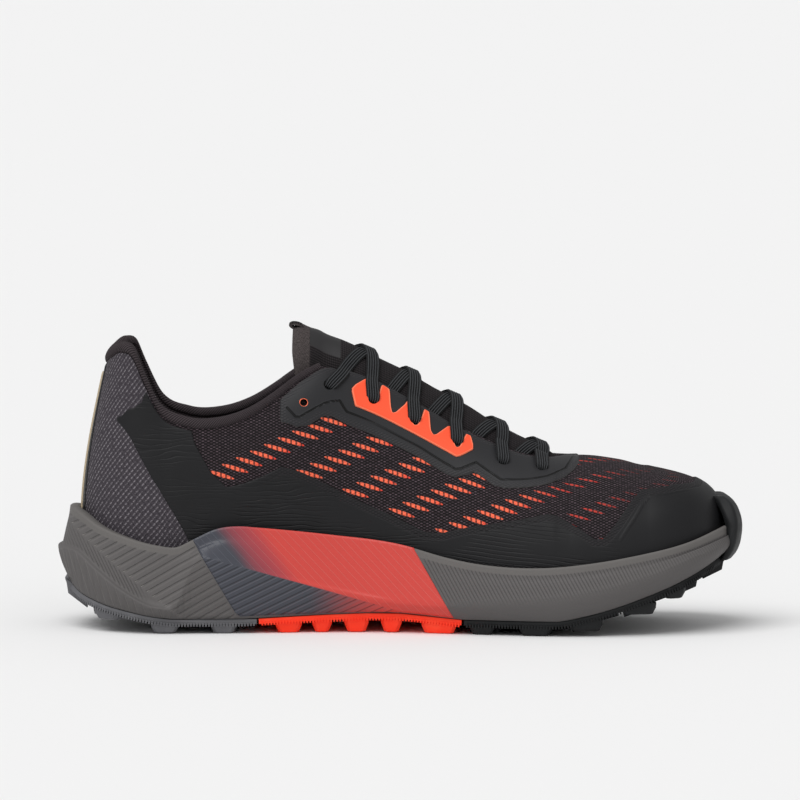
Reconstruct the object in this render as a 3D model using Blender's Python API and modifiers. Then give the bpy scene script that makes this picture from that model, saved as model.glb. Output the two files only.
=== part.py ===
"""A left trail running shoe, empty and standing on its lugs. Metres, +Z up, toe to +X, outer side to +Y.

The origin is on the floor under the middle of the shoe. Every piece is worked out from one ray system:
a ray leaves the spine of the sole at a signed way w and crosses the shoe's edge. w is 0 at the back of the
heel and 1 at the tip of the toe, positive along the outer (lateral) side and negative along the inner one.
Between the two fans at heel and toe, abs(w) is also the share of the length."""

import math

import bmesh
import bpy
import numpy as np
from mathutils import Vector

MM = 0.001

# Driving sizes
LENGTH = 300 * MM
BALL_WIDTH = 110 * MM
HEEL_WIDTH = 90 * MM
HEEL_HEIGHT = 118 * MM
ANKLE_HEIGHT = 86 * MM
INSTEP_HEIGHT = 112.5 * MM
VAMP_HEIGHT = 75 * MM
STACK_HEIGHT = 33 * MM
LUG_DEPTH = 4.0 * MM
PLATE = 2.3 * MM
PLATE_INSET = 0.4 * MM
SOLE_TUCK = 0.08
WALL = 2.4 * MM
FILM = 0.8 * MM
BUMPER = 2.0 * MM
INSOLE = 4.0 * MM
TONGUE = 4.5 * MM
TONGUE_FLANK = 13 * MM
ARCH_PART = 0.6
LACE_WIDTH = 6.0 * MM
LACE_THICKNESS = 1.5 * MM
LACE_CROSSING = 0.5 * MM
EYELET_BORE = 4.6 * MM
ROLL = 2.7 * MM
PAD = 4.2 * MM
PAD_DEPTH = 26 * MM
RIB_DEPTH = 0.9 * MM
HEEL_STEP = 1.6 * MM
STEP_END = 0.17
STEP_FADE = 0.03
LEDGE = 0.3 * MM
LEDGE_RISE = 0.9 * MM
RIM_BAND = 4.2 * MM
RIM_ROUND = 0.4 * MM
CREASE_ROOM = (3 * MM, 7 * MM)
SUPPORT = 0.8 * MM
GAP = 0.3 * MM
FILM_GAP = 0.5 * MM
GUIDE_GAP = 0.6 * MM
RIM_GAP = 0.6 * MM
SUPPORT_GAP = 0.8 * MM
BUMPER_GAP = 0.8 * MM
TONGUE_GAP = 0.8 * MM
LACE_GAP = 4.1 * MM
PAD_GAP = 0.8 * MM
SEAT_GAP = 0.7 * MM
INSOLE_GAP = 1.0 * MM

HEEL_FAN = 0.15
TOE_FAN = 0.86
THROAT_FRONT = 0.735
THROAT_ROUNDING = 0.075
SPINE_SHIFT = 0.0205


class Table:
    """Rows of named columns, read between the rows by a smooth curve that stays level where two rows agree."""

    def __init__(self, columns, rows):
        self.columns = columns.split()
        self.data = np.array(rows, float)

    def __call__(self, column, at):
        x = self.data[:, 0]
        y = self.data[:, self.columns.index(column)]
        secant = np.diff(y) / np.diff(x)
        before, after = np.diff(x)[:-1], np.diff(x)[1:]
        inner = (secant[:-1] * after + secant[1:] * before) / (before + after)
        inner[(np.abs(secant[:-1]) < 1e-9) | (np.abs(secant[1:]) < 1e-9)] = 0.0
        slope = np.concatenate([[secant[0]], inner, [secant[-1]]])
        at = np.clip(np.asarray(at, float), x[0], x[-1])
        i = np.clip(np.searchsorted(x, at, side="right") - 1, 0, len(x) - 2)
        step = x[i + 1] - x[i]
        t = (at - x[i]) / step
        low = (1 + 2 * t) * (1 - t) ** 2 * y[i] + t * (1 - t) ** 2 * step * slope[i]
        high = t * t * (3 - 2 * t) * y[i + 1] - t * t * (1 - t) * step * slope[i + 1]
        return low + high

    def straight(self, column, at):
        """The column read with straight lines between the rows, so that its corners stay sharp."""
        return np.interp(at, self.data[:, 0], self.data[:, self.columns.index(column)])


# Half widths of the sole and of the upper's foot and top edge, as shares of the local half width.
# The rows run from the back of the heel to the tip of the toe.
PLAN = Table(
    "way sole_inner sole_outer foot_inner foot_outer edge_inner edge_outer rim_inset bend",
    [
        (0.000, 1.000, 1.000, 0.745, 0.745, 0.530, 0.530, 0.115, 0.000),
        (0.050, 1.003, 1.003, 0.745, 0.745, 0.545, 0.545, 0.113, 0.000),
        (0.100, 1.000, 1.005, 0.742, 0.750, 0.567, 0.567, 0.110, 0.000),
        (0.150, 0.985, 1.000, 0.735, 0.757, 0.610, 0.610, 0.105, 0.000),
        (0.190, 0.972, 0.996, 0.726, 0.764, 0.655, 0.655, 0.100, 0.000),
        (0.250, 0.955, 0.990, 0.715, 0.775, 0.667, 0.678, 0.092, 0.004),
        (0.320, 0.915, 0.972, 0.700, 0.780, 0.610, 0.643, 0.085, 0.012),
        (0.360, 0.875, 0.945, 0.683, 0.772, 0.522, 0.565, 0.080, 0.018),
        (0.400, 0.835, 0.918, 0.660, 0.757, 0.400, 0.440, 0.076, 0.022),
        (0.455, 0.800, 0.898, 0.640, 0.738, 0.309, 0.339, 0.071, 0.024),
        (0.510, 0.803, 0.888, 0.652, 0.733, 0.275, 0.294, 0.067, 0.020),
        (0.570, 0.840, 0.905, 0.692, 0.758, 0.250, 0.264, 0.064, 0.008),
        (0.630, 0.900, 0.945, 0.760, 0.795, 0.238, 0.246, 0.063, -0.012),
        (0.700, 0.965, 0.985, 0.828, 0.830, 0.230, 0.236, 0.063, -0.032),
        (0.760, 0.990, 0.960, 0.845, 0.815, 0.225, 0.230, 0.063, -0.045),
        (0.820, 0.965, 0.895, 0.823, 0.750, 0.220, 0.225, 0.063, -0.053),
        (0.860, 0.920, 0.832, 0.773, 0.688, 0.220, 0.220, 0.062, -0.056),
        (0.910, 0.825, 0.765, 0.694, 0.624, 0.220, 0.220, 0.052, -0.056),
        (0.955, 0.742, 0.718, 0.628, 0.606, 0.220, 0.220, 0.036, -0.056),
        (1.000, 0.709, 0.709, 0.611, 0.611, 0.220, 0.220, 0.027, -0.056),
    ],
)

# The upper's top edge and the shape of its wall. bulge and reach are shares of the foot's half width,
# rise is a share of the wall's height, and lean is in degrees.
WALLS = Table(
    "way top bulge rise lean reach",
    [
        (0.000, 0.945 * HEEL_HEIGHT, 0.045, 0.36, 78, 0.74),
        (0.050, 0.979 * HEEL_HEIGHT, 0.045, 0.36, 78, 0.74),
        (0.080, 1.000 * HEEL_HEIGHT, 0.042, 0.36, 79, 0.74),
        (0.105, 0.980 * HEEL_HEIGHT, 0.040, 0.37, 80, 0.70),
        (0.125, 0.894 * HEEL_HEIGHT, 0.040, 0.38, 81, 0.62),
        (0.150, 0.784 * HEEL_HEIGHT, 0.038, 0.40, 80, 0.52),
        (0.190, 1.003 * ANKLE_HEIGHT, 0.036, 0.41, 78, 0.46),
        (0.235, 1.000 * ANKLE_HEIGHT, 0.034, 0.42, 75, 0.43),
        (0.280, 1.050 * ANKLE_HEIGHT, 0.032, 0.42, 72, 0.46),
        (0.320, 0.871 * INSTEP_HEIGHT, 0.030, 0.42, 66, 0.50),
        (0.360, 0.956 * INSTEP_HEIGHT, 0.030, 0.42, 58, 0.54),
        (0.395, 1.000 * INSTEP_HEIGHT, 0.030, 0.42, 52, 0.52),
        (0.410, 0.994 * INSTEP_HEIGHT, 0.030, 0.42, 50, 0.50),
        (0.455, 0.956 * INSTEP_HEIGHT, 0.030, 0.43, 47, 0.46),
        (0.510, 0.887 * INSTEP_HEIGHT, 0.030, 0.44, 44, 0.45),
        (0.570, 0.804 * INSTEP_HEIGHT, 0.028, 0.46, 40, 0.45),
        (0.630, 0.731 * INSTEP_HEIGHT, 0.026, 0.48, 34, 0.47),
        (0.685, 1.016 * VAMP_HEIGHT, 0.024, 0.50, 24, 0.50),
        (0.715, 0.998 * VAMP_HEIGHT, 0.024, 0.52, 14, 0.53),
        (0.735, 0.997 * VAMP_HEIGHT, 0.022, 0.54, 5, 0.55),
        (0.760, 0.997 * VAMP_HEIGHT, 0.022, 0.56, 1, 0.57),
        (0.820, 0.971 * VAMP_HEIGHT, 0.020, 0.60, 0, 0.59),
        (0.860, 0.936 * VAMP_HEIGHT, 0.020, 0.64, 0, 0.61),
        (0.910, 0.936 * VAMP_HEIGHT, 0.020, 0.70, 6, 0.66),
        (0.955, 0.936 * VAMP_HEIGHT, 0.020, 0.76, 10, 0.71),
        (1.000, 0.936 * VAMP_HEIGHT, 0.020, 0.80, 12, 0.74),
    ],
)

# Heights of the sole along the length, as shares of the stack height at the heel.
LEVELS = Table(
    "share ground floor rim_inner rim_outer crease_inner crease_outer",
    [
        (0.000, 0.650, 1.130, 1.680, 1.680, 0.900, 0.900),
        (0.025, 0.370, 1.090, 1.660, 1.660, 0.940, 0.940),
        (0.060, 0.206, 1.045, 1.540, 1.540, 0.900, 0.900),
        (0.100, 0.108, 1.015, 1.400, 1.400, 0.720, 0.720),
        (0.150, 0.020, 1.000, 1.235, 1.240, 0.560, 0.560),
        (0.170, 0.000, 1.000, 1.200, 1.220, 0.640, 0.560),
        (0.200, 0.000, 0.995, 1.290, 1.240, 0.900, 0.570),
        (0.250, 0.000, 0.985, 1.470, 1.300, 0.950, 0.600),
        (0.270, 0.000, 0.980, 1.485, 1.320, 0.885, 0.610),
        (0.400, 0.048, 0.900, 1.370, 1.260, 0.580, 0.610),
        (0.500, 0.067, 0.830, 1.240, 1.150, 0.420, 0.560),
        (0.570, 0.015, 0.785, 1.080, 1.050, 0.400, 0.500),
        (0.595, 0.000, 0.770, 1.030, 1.010, 0.420, 0.490),
        (0.650, 0.000, 0.735, 0.945, 0.950, 0.450, 0.480),
        (0.720, 0.000, 0.725, 0.930, 0.930, 0.500, 0.510),
        (0.770, 0.079, 0.750, 0.975, 0.970, 0.570, 0.570),
        (0.850, 0.303, 0.840, 1.085, 1.080, 0.760, 0.760),
        (0.920, 0.564, 0.985, 1.235, 1.230, 0.990, 0.990),
        (0.970, 0.794, 1.130, 1.360, 1.350, 1.200, 1.200),
        (1.000, 0.924, 1.240, 1.400, 1.400, 1.300, 1.300),
    ],
)

# The smooth black film, from its lower edge to its upper one, as shares of the wall's height.
MUDGUARD = Table(
    "way low high",
    [
        (0.085, 0.69, 0.72),
        (0.110, 0.63, 0.83),
        (0.130, 0.58, 0.97),
        (0.150, 0.50, 0.985),
        (0.170, 0.36, 0.985),
        (0.190, 0.17, 0.985),
        (0.198, 0.05, 0.985),
        (0.225, 0.05, 0.71),
        (0.248, 0.05, 0.57),
        (0.262, 0.05, 0.57),
        (0.328, 0.05, 0.60),
        (0.344, 0.05, 0.55),
        (0.384, 0.05, 0.435),
        (0.422, 0.05, 0.37),
        (0.500, 0.05, 0.295),
        (0.536, 0.05, 0.25),
        (0.560, 0.05, 0.265),
        (0.610, 0.05, 0.367),
        (0.683, 0.05, 0.51),
        (0.712, 0.05, 0.56),
        (0.728, 0.05, 0.545),
        (0.759, 0.05, 0.436),
        (0.782, 0.05, 0.34),
        (0.793, 0.05, 0.343),
        (0.811, 0.05, 0.468),
        (0.833, 0.05, 0.676),
        (0.850, 0.05, 0.81),
        (0.902, 0.05, 0.83),
        (0.950, 0.05, 0.81),
        (1.000, 0.05, 0.84),
    ],
)

# The dark film round the throat.
EYESTAY = Table(
    "way low high",
    [
        (0.325, 0.955, 0.985),
        (0.342, 0.82, 0.985),
        (0.361, 0.78, 0.985),
        (0.402, 0.775, 0.985),
        (0.425, 0.752, 0.985),
        (0.529, 0.705, 0.985),
        (0.569, 0.67, 0.985),
        (0.581, 0.675, 0.985),
        (0.607, 0.755, 0.985),
        (0.636, 0.705, 0.985),
        (0.666, 0.735, 0.985),
        (0.717, 0.827, 0.99),
        (0.735, 0.865, 1.0),
        (0.754, 0.92, 1.0),
        (0.762, 0.96, 1.0),
    ],
)

# The orange film's sawtooth: its straight lower edge and the notches and tips of its upper one.
GUIDE = Table(
    "way low high",
    [
        (0.446, 0.780, 0.880),
        (0.459, 0.772, 0.975),
        (0.465, 0.768, 0.865),
        (0.475, 0.762, 0.880),
        (0.486, 0.755, 0.975),
        (0.490, 0.752, 0.850),
        (0.503, 0.745, 0.860),
        (0.512, 0.740, 0.975),
        (0.518, 0.735, 0.845),
        (0.528, 0.730, 0.850),
        (0.540, 0.726, 0.975),
        (0.545, 0.724, 0.840),
        (0.558, 0.722, 0.850),
        (0.572, 0.730, 0.975),
        (0.580, 0.790, 0.870),
    ],
)

STRIP = Table("way low high", [(0.0, 0.16, 0.985), (0.026, 0.16, 0.985)])
HEEL_RIB = Table("way low high", [(0.0, 0.28, 0.96), (0.010, 0.28, 0.96)])

# Eyelets from the ankle to the toe: way, share of the wall's height, and how high and how far inwards the lace
# sets out from them, as shares of the throat's half width.
EYELETS = Table(
    "number way height arch reach",
    [
        (1, 0.396, 0.935, 1.32, 0.25),
        (2, 0.460, 0.915, 1.16, 0.42),
        (3, 0.520, 0.905, 1.20, 0.50),
        (4, 0.582, 0.895, 1.22, 0.50),
        (5, 0.649, 0.890, 0.80, 0.55),
        (6, 0.706, 0.915, 0.62, 0.60),
    ],
)
EYELET_COUNT = 6
SPARE_EYELET = (0.360, 0.900)

# The tongue: how far its flanks lie inside the wall and how much of it there is. arch and reach say how high
# and how far inwards it sets out from the throat's edges, as shares of the throat's half width.
TONGUE_ROWS = Table(
    "way inset arch reach part",
    [
        (0.338, 7.5 * MM, 1.67, 0.00, 0.60),
        (0.352, 7.5 * MM, 1.63, 0.00, 0.86),
        (0.370, 7.3 * MM, 1.50, 0.05, 1.00),
        (0.395, 6.5 * MM, 1.41, 0.15, 1.00),
        (0.425, 2.5 * MM, 1.22, 0.33, 1.00),
        (0.455, 0.0 * MM, 1.01, 0.49, 1.00),
        (0.510, 0.0 * MM, 1.00, 0.53, 1.00),
        (0.570, 0.0 * MM, 1.00, 0.58, 1.00),
        (0.630, 0.0 * MM, 0.76, 0.59, 1.00),
        (0.685, 0.0 * MM, 0.56, 0.66, 1.00),
        (0.715, 0.0 * MM, 0.38, 0.75, 1.00),
        (0.735, 0.0 * MM, 0.10, 0.75, 1.00),
        (0.760, 0.0 * MM, 0.00, 0.72, 1.00),
    ],
)

# Rows of lugs: place and length along the sole, how much of its width they span, and how many.
LUGS = {
    "outsole_heel": [
        (0.030, 0.034, 0.80, 3),
        (0.072, 0.040, 0.84, 3),
        (0.113, 0.026, 0.40, 2),
        (0.158, 0.038, 0.88, 3),
        (0.200, 0.028, 0.42, 2),
        (0.243, 0.038, 0.88, 3),
    ],
    "outsole_arch": [
        (0.338, 0.038, 0.88, 2),
        (0.385, 0.032, 0.40, 2),
        (0.436, 0.036, 0.88, 2),
        (0.484, 0.030, 0.40, 2),
        (0.552, 0.046, 0.88, 2),
    ],
    "outsole_forefoot": [
        (0.618, 0.038, 0.90, 4),
        (0.656, 0.028, 0.58, 3),
        (0.695, 0.044, 0.90, 4),
        (0.734, 0.026, 0.60, 3),
        (0.768, 0.044, 0.90, 4),
        (0.807, 0.026, 0.60, 3),
        (0.843, 0.044, 0.90, 4),
        (0.880, 0.024, 0.58, 3),
        (0.915, 0.036, 0.88, 3),
        (0.955, 0.034, 0.80, 2),
    ],
}
PLATE_ENDS = {"outsole_heel": (None, 0.292), "outsole_arch": (0.295, 0.589), "outsole_forefoot": (0.592, None)}

UPPER_WAYS = [
    0.0, 0.03, 0.058, 0.085, 0.108, 0.13, 0.15, 0.17, 0.19, 0.198, 0.225, 0.248, 0.29, 0.328, 0.344, 0.375,
    0.402, 0.44, 0.49, 0.536, 0.575, 0.61, 0.65, 0.686, 0.71, 0.735, 0.759, 0.785, 0.811, 0.835,
    0.86, 0.888, 0.916, 0.944, 0.972, 1.0,
]  # fmt: skip
UPPER_ROWS = [0.0, 0.18, 0.38, 0.57, 0.75, 0.9, 1.0]
SOLE_WAYS = [
    0.25, 0.3, 0.35, 0.4, 0.45, 0.5, 0.55, 0.6, 0.65, 0.7, 0.74, 0.78, 0.82, 0.86, 0.888, 0.916, 0.944,
    0.972, 1.0,
]  # fmt: skip
RIBS = 8
RIB_END = 0.21
FILM_REAR = 0.20
FILM_FRONT = 0.52
FOOT_LINE = 0.05
TOP_LINE = 0.985
FORK_HEIGHT = 0.705
SLIT = 0.018

COLOURS = {
    "black_rubber": ((0.020, 0.021, 0.023), 0.62),
    "grey_rubber": ((0.130, 0.130, 0.132), 0.60),
    "orange_rubber": ((0.95, 0.055, 0.016), 0.45),
    "foam": ((0.155, 0.148, 0.142), 0.72),
    "support": ((0.62, 0.085, 0.075), 0.30),
    "lining": ((0.045, 0.040, 0.043), 0.90),
    "knit": ((0.028, 0.018, 0.020), 0.88),
    "smooth_film": ((0.022, 0.022, 0.024), 0.45),
    "grey_mesh": ((0.115, 0.103, 0.108), 0.85),
    "cream": ((0.62, 0.56, 0.47), 0.55),
    "dark_film": ((0.048, 0.048, 0.050), 0.50),
    "guide_film": ((1.0, 0.17, 0.075), 0.42),
    "collar_knit": ((0.050, 0.040, 0.042), 0.92),
    "tongue_knit": ((0.040, 0.035, 0.035), 0.92),
    "lace": ((0.030, 0.031, 0.033), 0.80),
}


def half_width(way):
    """Half of the local width, from the heel's to the ball's."""
    t = np.clip((np.abs(way) - 0.3) / 0.3, 0, 1)
    return (HEEL_WIDTH + (BALL_WIDTH - HEEL_WIDTH) * t * t * (3 - 2 * t)) / 2


def column(w, name):
    """A column of PLAN that has an inner and an outer side, in metres."""
    way = np.abs(w)
    chosen = np.where(w < 0, PLAN(name + "_inner", way), PLAN(name + "_outer", way))
    return chosen * half_width(way)


HEEL_CENTRE = -LENGTH / 2 + float(column(np.array(0.0), "sole"))
TOE_CENTRE = LENGTH / 2 - float(column(np.array(1.0), "sole")) - BUMPER_GAP - BUMPER


def spine(w):
    way = np.clip(np.abs(w), HEEL_FAN, TOE_FAN)
    x = HEEL_CENTRE + (TOE_CENTRE - HEEL_CENTRE) * (way - HEEL_FAN) / (TOE_FAN - HEEL_FAN)
    return x, PLAN("bend", way) * half_width(way) + SPINE_SHIFT * BALL_WIDTH


def ray(w):
    """Unit vector of the ray in plan."""
    way = np.abs(w)
    heel = np.pi / 2 * (1 - np.clip(way / HEEL_FAN, 0, 1))
    toe = np.pi / 2 * np.clip((way - TOE_FAN) / (1 - TOE_FAN), 0, 1)
    return np.sin(toe) - np.sin(heel), np.where(w < 0, -1.0, 1.0) * np.cos(heel) * np.cos(toe)


def on_ray(w, radius, z):
    x, y = spine(w)
    dx, dy = ray(w)
    radius = np.asarray(radius)
    return np.stack(np.broadcast_arrays(x + radius * dx, y + radius * dy, z), axis=-1)


def level(name, x, w=None):
    """A height of the sole at this x, on the side of w where the column has two sides."""
    share = np.asarray(x) / LENGTH + 0.5
    if w is None:
        return LEVELS(name, share) * STACK_HEIGHT
    return np.where(w < 0, LEVELS(name + "_inner", share), LEVELS(name + "_outer", share)) * STACK_HEIGHT


def foam_bottom(x):
    return level("ground", x) + LUG_DEPTH + PLATE + GAP


def edge_radius(w):
    """Half width of the opening: the collar, then the throat with its round front, then closed."""
    t = np.clip((THROAT_FRONT - np.abs(w)) / THROAT_ROUNDING, 0, 1)
    return column(w, "edge") * np.sqrt(1 - (1 - t) ** 2)


def wall_curve(w, t):
    """Radius and height on the upper's outer face: a cubic curve from the foot to the top edge."""
    way = np.abs(w)
    foot, edge = column(w, "foot"), edge_radius(w)
    low = level("floor", on_ray(w, foot, 0)[..., 0]) + GAP
    top = WALLS("top", way)
    lean = np.radians(WALLS("lean", way))
    reach = WALLS("reach", way) * foot
    radii = (foot, foot * (1 + WALLS("bulge", way)), edge + reach * np.cos(lean), edge)
    heights = (low, low + WALLS("rise", way) * (top - low), top - reach * np.sin(lean), top)
    shares = ((1 - t) ** 3, 3 * t * (1 - t) ** 2, 3 * t * t * (1 - t), t**3)
    return sum(r * s for r, s in zip(radii, shares)), sum(h * s for h, s in zip(heights, shares))


def wrapped(w):
    """w carried on past the back of the heel or the tip of the toe."""
    return np.where(w > 1, w - 2, np.where(w < -1, w + 2, w))


def skin(w, t):
    radius, z = wall_curve(w, t)
    return on_ray(w, radius, z)


def skin_normal(w, t):
    """Unit normal of the upper's outer face, the same from both sides where they meet."""
    w, t = np.broadcast_arrays(np.asarray(w, float), np.asarray(t, float))
    closed = (edge_radius(w) < 1e-6) & (t > 0.999)
    w = np.where(closed & (np.abs(w) > TOE_FAN), TOE_FAN, w)
    t = np.clip(t, 0, 0.995)

    def raw(w):
        along = skin(wrapped(w + 0.002), t) - skin(wrapped(w - 0.002), t)
        up = skin(w, np.minimum(t + 0.004, 1)) - skin(w, np.maximum(t - 0.004, 0))
        found = np.cross(up, along)
        return found / np.linalg.norm(found, axis=-1, keepdims=True)

    normal = raw(w)
    both = normal + raw(-w)
    both[..., 1] = 0
    both /= np.linalg.norm(both, axis=-1, keepdims=True)
    return np.where(closed[..., None], both, normal)


def skin_at(w, t, offset=0.0):
    return skin(w, t) + np.asarray(offset)[..., None] * skin_normal(w, t)


def t_of_height(w, share):
    """The curve's own parameter where the wall reaches a share of its height."""
    w, share = np.broadcast_arrays(np.asarray(w, float), np.asarray(share, float))
    samples = np.linspace(0, 1, 81)
    found = np.empty(w.shape)
    for index in np.ndindex(w.shape):
        z = wall_curve(w[index], samples)[1]
        rise = np.maximum.accumulate((z - z[0]) / (z[-1] - z[0]))
        found[index] = 1.0 if share[index] >= 1 else np.interp(share[index], rise, samples)
    return found


def t_below_edge(w, depth, top=1.0):
    """The curve's own parameter at a distance, measured along the wall, below its share top."""
    t = np.linspace(0, top, 61)
    points = skin(np.full(t.shape, w), t)
    length = np.concatenate([[0], np.cumsum(np.linalg.norm(np.diff(points, axis=0), axis=1))])
    return float(np.interp(length[-1] - depth, length, t))


def sole_ways():
    """The sole's rays: close together along the heel, whose side has ribs, and then wider apart."""
    return list(np.linspace(0, RIB_END, 2 * RIBS + 1)) + SOLE_WAYS


def loop_of(ways):
    """Signed ways once round the shoe: out along the outer side and back along the inner one."""
    return np.array(list(ways) + [-w for w in reversed(ways[1:-1])])


def side_of(ways, side):
    return np.array(ways if side > 0 else [-w for w in reversed(ways)])


def material(name):
    found = bpy.data.materials.get(name)
    if found:
        return found
    colour, roughness = COLOURS[name]
    made = bpy.data.materials.new(name)
    made.use_nodes = True
    shader = made.node_tree.nodes["Principled BSDF"]
    shader.inputs["Base Color"].default_value = (*colour, 1)
    shader.inputs["Roughness"].default_value = roughness
    return made


def collection(name):
    found = bpy.data.collections.get(name)
    if not found:
        found = bpy.data.collections.new(name)
        bpy.context.scene.collection.children.link(found)
    return found


def object_of(name, points, faces, surface, group="Trail running shoe"):
    mesh = bpy.data.meshes.new(name)
    mesh.from_pydata([tuple(p) for p in np.asarray(points, float).reshape(-1, 3)], [], faces)
    work = bmesh.new()
    work.from_mesh(mesh)
    bmesh.ops.remove_doubles(work, verts=work.verts, dist=1e-5)
    bmesh.ops.dissolve_degenerate(work, edges=work.edges, dist=1e-6)
    work.to_mesh(mesh)
    work.free()
    mesh.shade_smooth()
    mesh.materials.append(material(surface))
    made = bpy.data.objects.new(name, mesh)
    collection(group).objects.link(made)
    return made


def grid_faces(count, rows, closed):
    """Quads of a grid of rays and rows, facing away from the shoe's middle."""
    last = count if closed else count - 1
    return [
        (i * rows + k, i * rows + k + 1, (i + 1) % count * rows + k + 1, (i + 1) % count * rows + k)
        for i in range(last)
        for k in range(rows - 1)
    ]


def thicken(made, thickness, outwards=True):
    """Gives an open sheet its thickness."""
    solid = made.modifiers.new("Thickness", "SOLIDIFY")
    solid.thickness = thickness
    solid.offset = 1 if outwards else -1
    solid.use_even_offset = True
    solid.use_quality_normals = True
    return made


def closed_body(name, points, faces, surface, group="Trail running shoe"):
    """A hand-lofted body with its faces turned out."""
    made = object_of(name, points, faces, surface, group)
    work = bmesh.new()
    work.from_mesh(made.data)
    bmesh.ops.recalc_face_normals(work, faces=work.faces)
    work.to_mesh(made.data)
    work.free()
    return made


def cutter(made):
    made.hide_render = True
    made.display_type = "WIRE"
    return made


def boolean(made, operation, other):
    cut = made.modifiers.new(operation.title(), "BOOLEAN")
    cut.operation = operation
    cut.solver = "EXACT"
    if isinstance(other, bpy.types.Collection):
        cut.operand_type = "COLLECTION"
        cut.collection = other
    else:
        cut.object = other
    return made


def patch(ways, low, high, offset):
    """Points and faces of a film on the upper: its rows are the upper's own, stopped at two edges."""
    low, high = t_of_height(ways, low), t_of_height(ways, high)
    t = np.clip(np.array(UPPER_ROWS)[None, :], low[:, None], high[:, None])
    points = skin_at(ways[:, None], t, np.full(t.shape, offset)).reshape(-1, 3)
    return points, grid_faces(len(ways), t.shape[1], False)


def joined(patches):
    points, faces = [], []
    for more_points, more_faces in patches:
        faces += [tuple(i + len(points) for i in face) for face in more_faces]
        points += [tuple(p) for p in more_points]
    return points, faces


def band(name, table, ways, surface, offset):
    """A film between the two edges of a table."""
    way = np.abs(ways)
    points, faces = patch(ways, table.straight("low", way), table.straight("high", way), offset)
    return thicken(object_of(name, points, faces, surface), FILM)


def upper():
    ways = loop_of(UPPER_WAYS)
    t = np.array(UPPER_ROWS)
    points = skin_at(ways[:, None], t[None, :], np.zeros((len(ways), len(t))))
    sheet = object_of("upper", points, grid_faces(len(ways), len(t), True), "knit")
    return thicken(sheet, WALL, outwards=False)


def mudguard():
    ways = [0.095] + [w for w in UPPER_WAYS if w > 0.1]
    run = np.array(ways + [-w for w in reversed(ways[:-1])])
    return band("mudguard", MUDGUARD, run, "smooth_film", FILM_GAP)


def heel_panels():
    """The grey mesh runs under the black film's corner and over it, parted from it by a narrow slit."""
    fork = 0.08
    under = [0.032, 0.058, fork, 0.108, 0.13, 0.15, 0.17, 0.185]
    over = [0.032, 0.058, fork, 0.108, 0.124]
    for name, side in (("heel_panel_medial", -1), ("heel_panel_lateral", 1)):
        patches = []
        for ways, column_name, slit in ((under, "low", -SLIT), (over, "high", SLIT)):
            run = side_of(ways, side)
            way = np.abs(run)
            film = np.where(way > fork, MUDGUARD.straight(column_name, way) + slit, FORK_HEIGHT)
            if slit < 0:
                patches.append(patch(run, np.full(run.shape, FOOT_LINE), film, FILM_GAP))
            else:
                patches.append(patch(run, film, np.full(run.shape, TOP_LINE), FILM_GAP))
        points, faces = joined(patches)
        thicken(object_of(name, points, faces, "grey_mesh"), FILM)


def heel_trim():
    """The black strip up the back and the raised rib on it."""
    strip, rib = [0.0, 0.014, 0.027], [0.0, 0.009]
    layer = FILM_GAP + FILM + GAP
    band("heel_strip", STRIP, np.array([-w for w in strip[:0:-1]] + strip), "smooth_film", FILM_GAP)
    band("heel_rib", HEEL_RIB, np.array([-w for w in rib[:0:-1]] + rib), "cream", layer)


def eyestay():
    """Both sides of the dark film, which meet in front of the throat."""
    ways = [w for w in UPPER_WAYS if 0.32 < w < 0.765]
    patches = []
    for side in (-1, 1):
        run = side_of(ways, side)
        way = np.abs(run)
        patches.append(patch(run, EYESTAY.straight("low", way), EYESTAY.straight("high", way), FILM_GAP))
    points, faces = joined(patches)
    return thicken(object_of("eyestay", points, faces, "dark_film"), FILM)


def lace_guides():
    ways = sorted({float(w) for w in GUIDE.data[:, 0]})
    for name, side in (("lace_guide_medial", -1), ("lace_guide_lateral", 1)):
        run = side_of(ways, side)
        way = np.abs(run)
        low, high = GUIDE.straight("low", way), GUIDE.straight("high", way)
        t = np.stack([t_of_height(run, low + (high - low) * k / 2) for k in range(3)], axis=1)
        layer = FILM_GAP + FILM + GUIDE_GAP
        points = skin_at(run[:, None], t, np.full(t.shape, layer))
        thicken(object_of(name, points, grid_faces(len(run), 3, False), "guide_film"), FILM)


def sole_radius(w):
    return column(w, "sole")


def tray_radius(w):
    """The tray's inner wall stands clear of the upper and its films."""
    t = np.linspace(0, 0.45, 10)
    widest = np.max(np.stack([wall_curve(w, share)[0] for share in t]), axis=0)
    return widest + FILM_GAP + FILM + RIM_GAP


def sole_side(w, row, rib):
    """One row of the foam's side. Rows run from the parting line up over the rim to the tray."""
    reach = sole_radius(w)
    inset = PLAN("rim_inset", np.abs(w)) * half_width(w)
    edge_x = on_ray(w, reach - SOLE_TUCK * half_width(w), 0)[..., 0]
    bottom = foam_bottom(edge_x)
    x = on_ray(w, reach, 0)[..., 0]
    crease = np.maximum(level("crease", x, w), bottom + CREASE_ROOM[0])
    rim = level("rim", on_ray(w, reach - inset, 0)[..., 0], w)
    crease = np.minimum(crease, rim - CREASE_ROOM[1])
    step = HEEL_STEP * np.clip((STEP_END - np.abs(w)) / STEP_FADE, 0, 1)
    rows = {
        "parting": (SOLE_TUCK * half_width(w), bottom),
        "lower": (0.030 * half_width(w) + rib, bottom + 0.45 * (crease - bottom)),
        "crease": (0.0 * w, crease),
        "ledge": (LEDGE + step, crease + LEDGE_RISE),
        "middle": (LEDGE + 0.5 * step + 0.5 * inset + rib, crease + 0.5 * (rim - crease)),
        "band": (inset - RIM_ROUND, rim - RIM_BAND),
        "rim": (inset + RIM_ROUND / 2, rim),
    }
    depth, z = rows[row]
    return on_ray(w, reach - depth, z)


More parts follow.
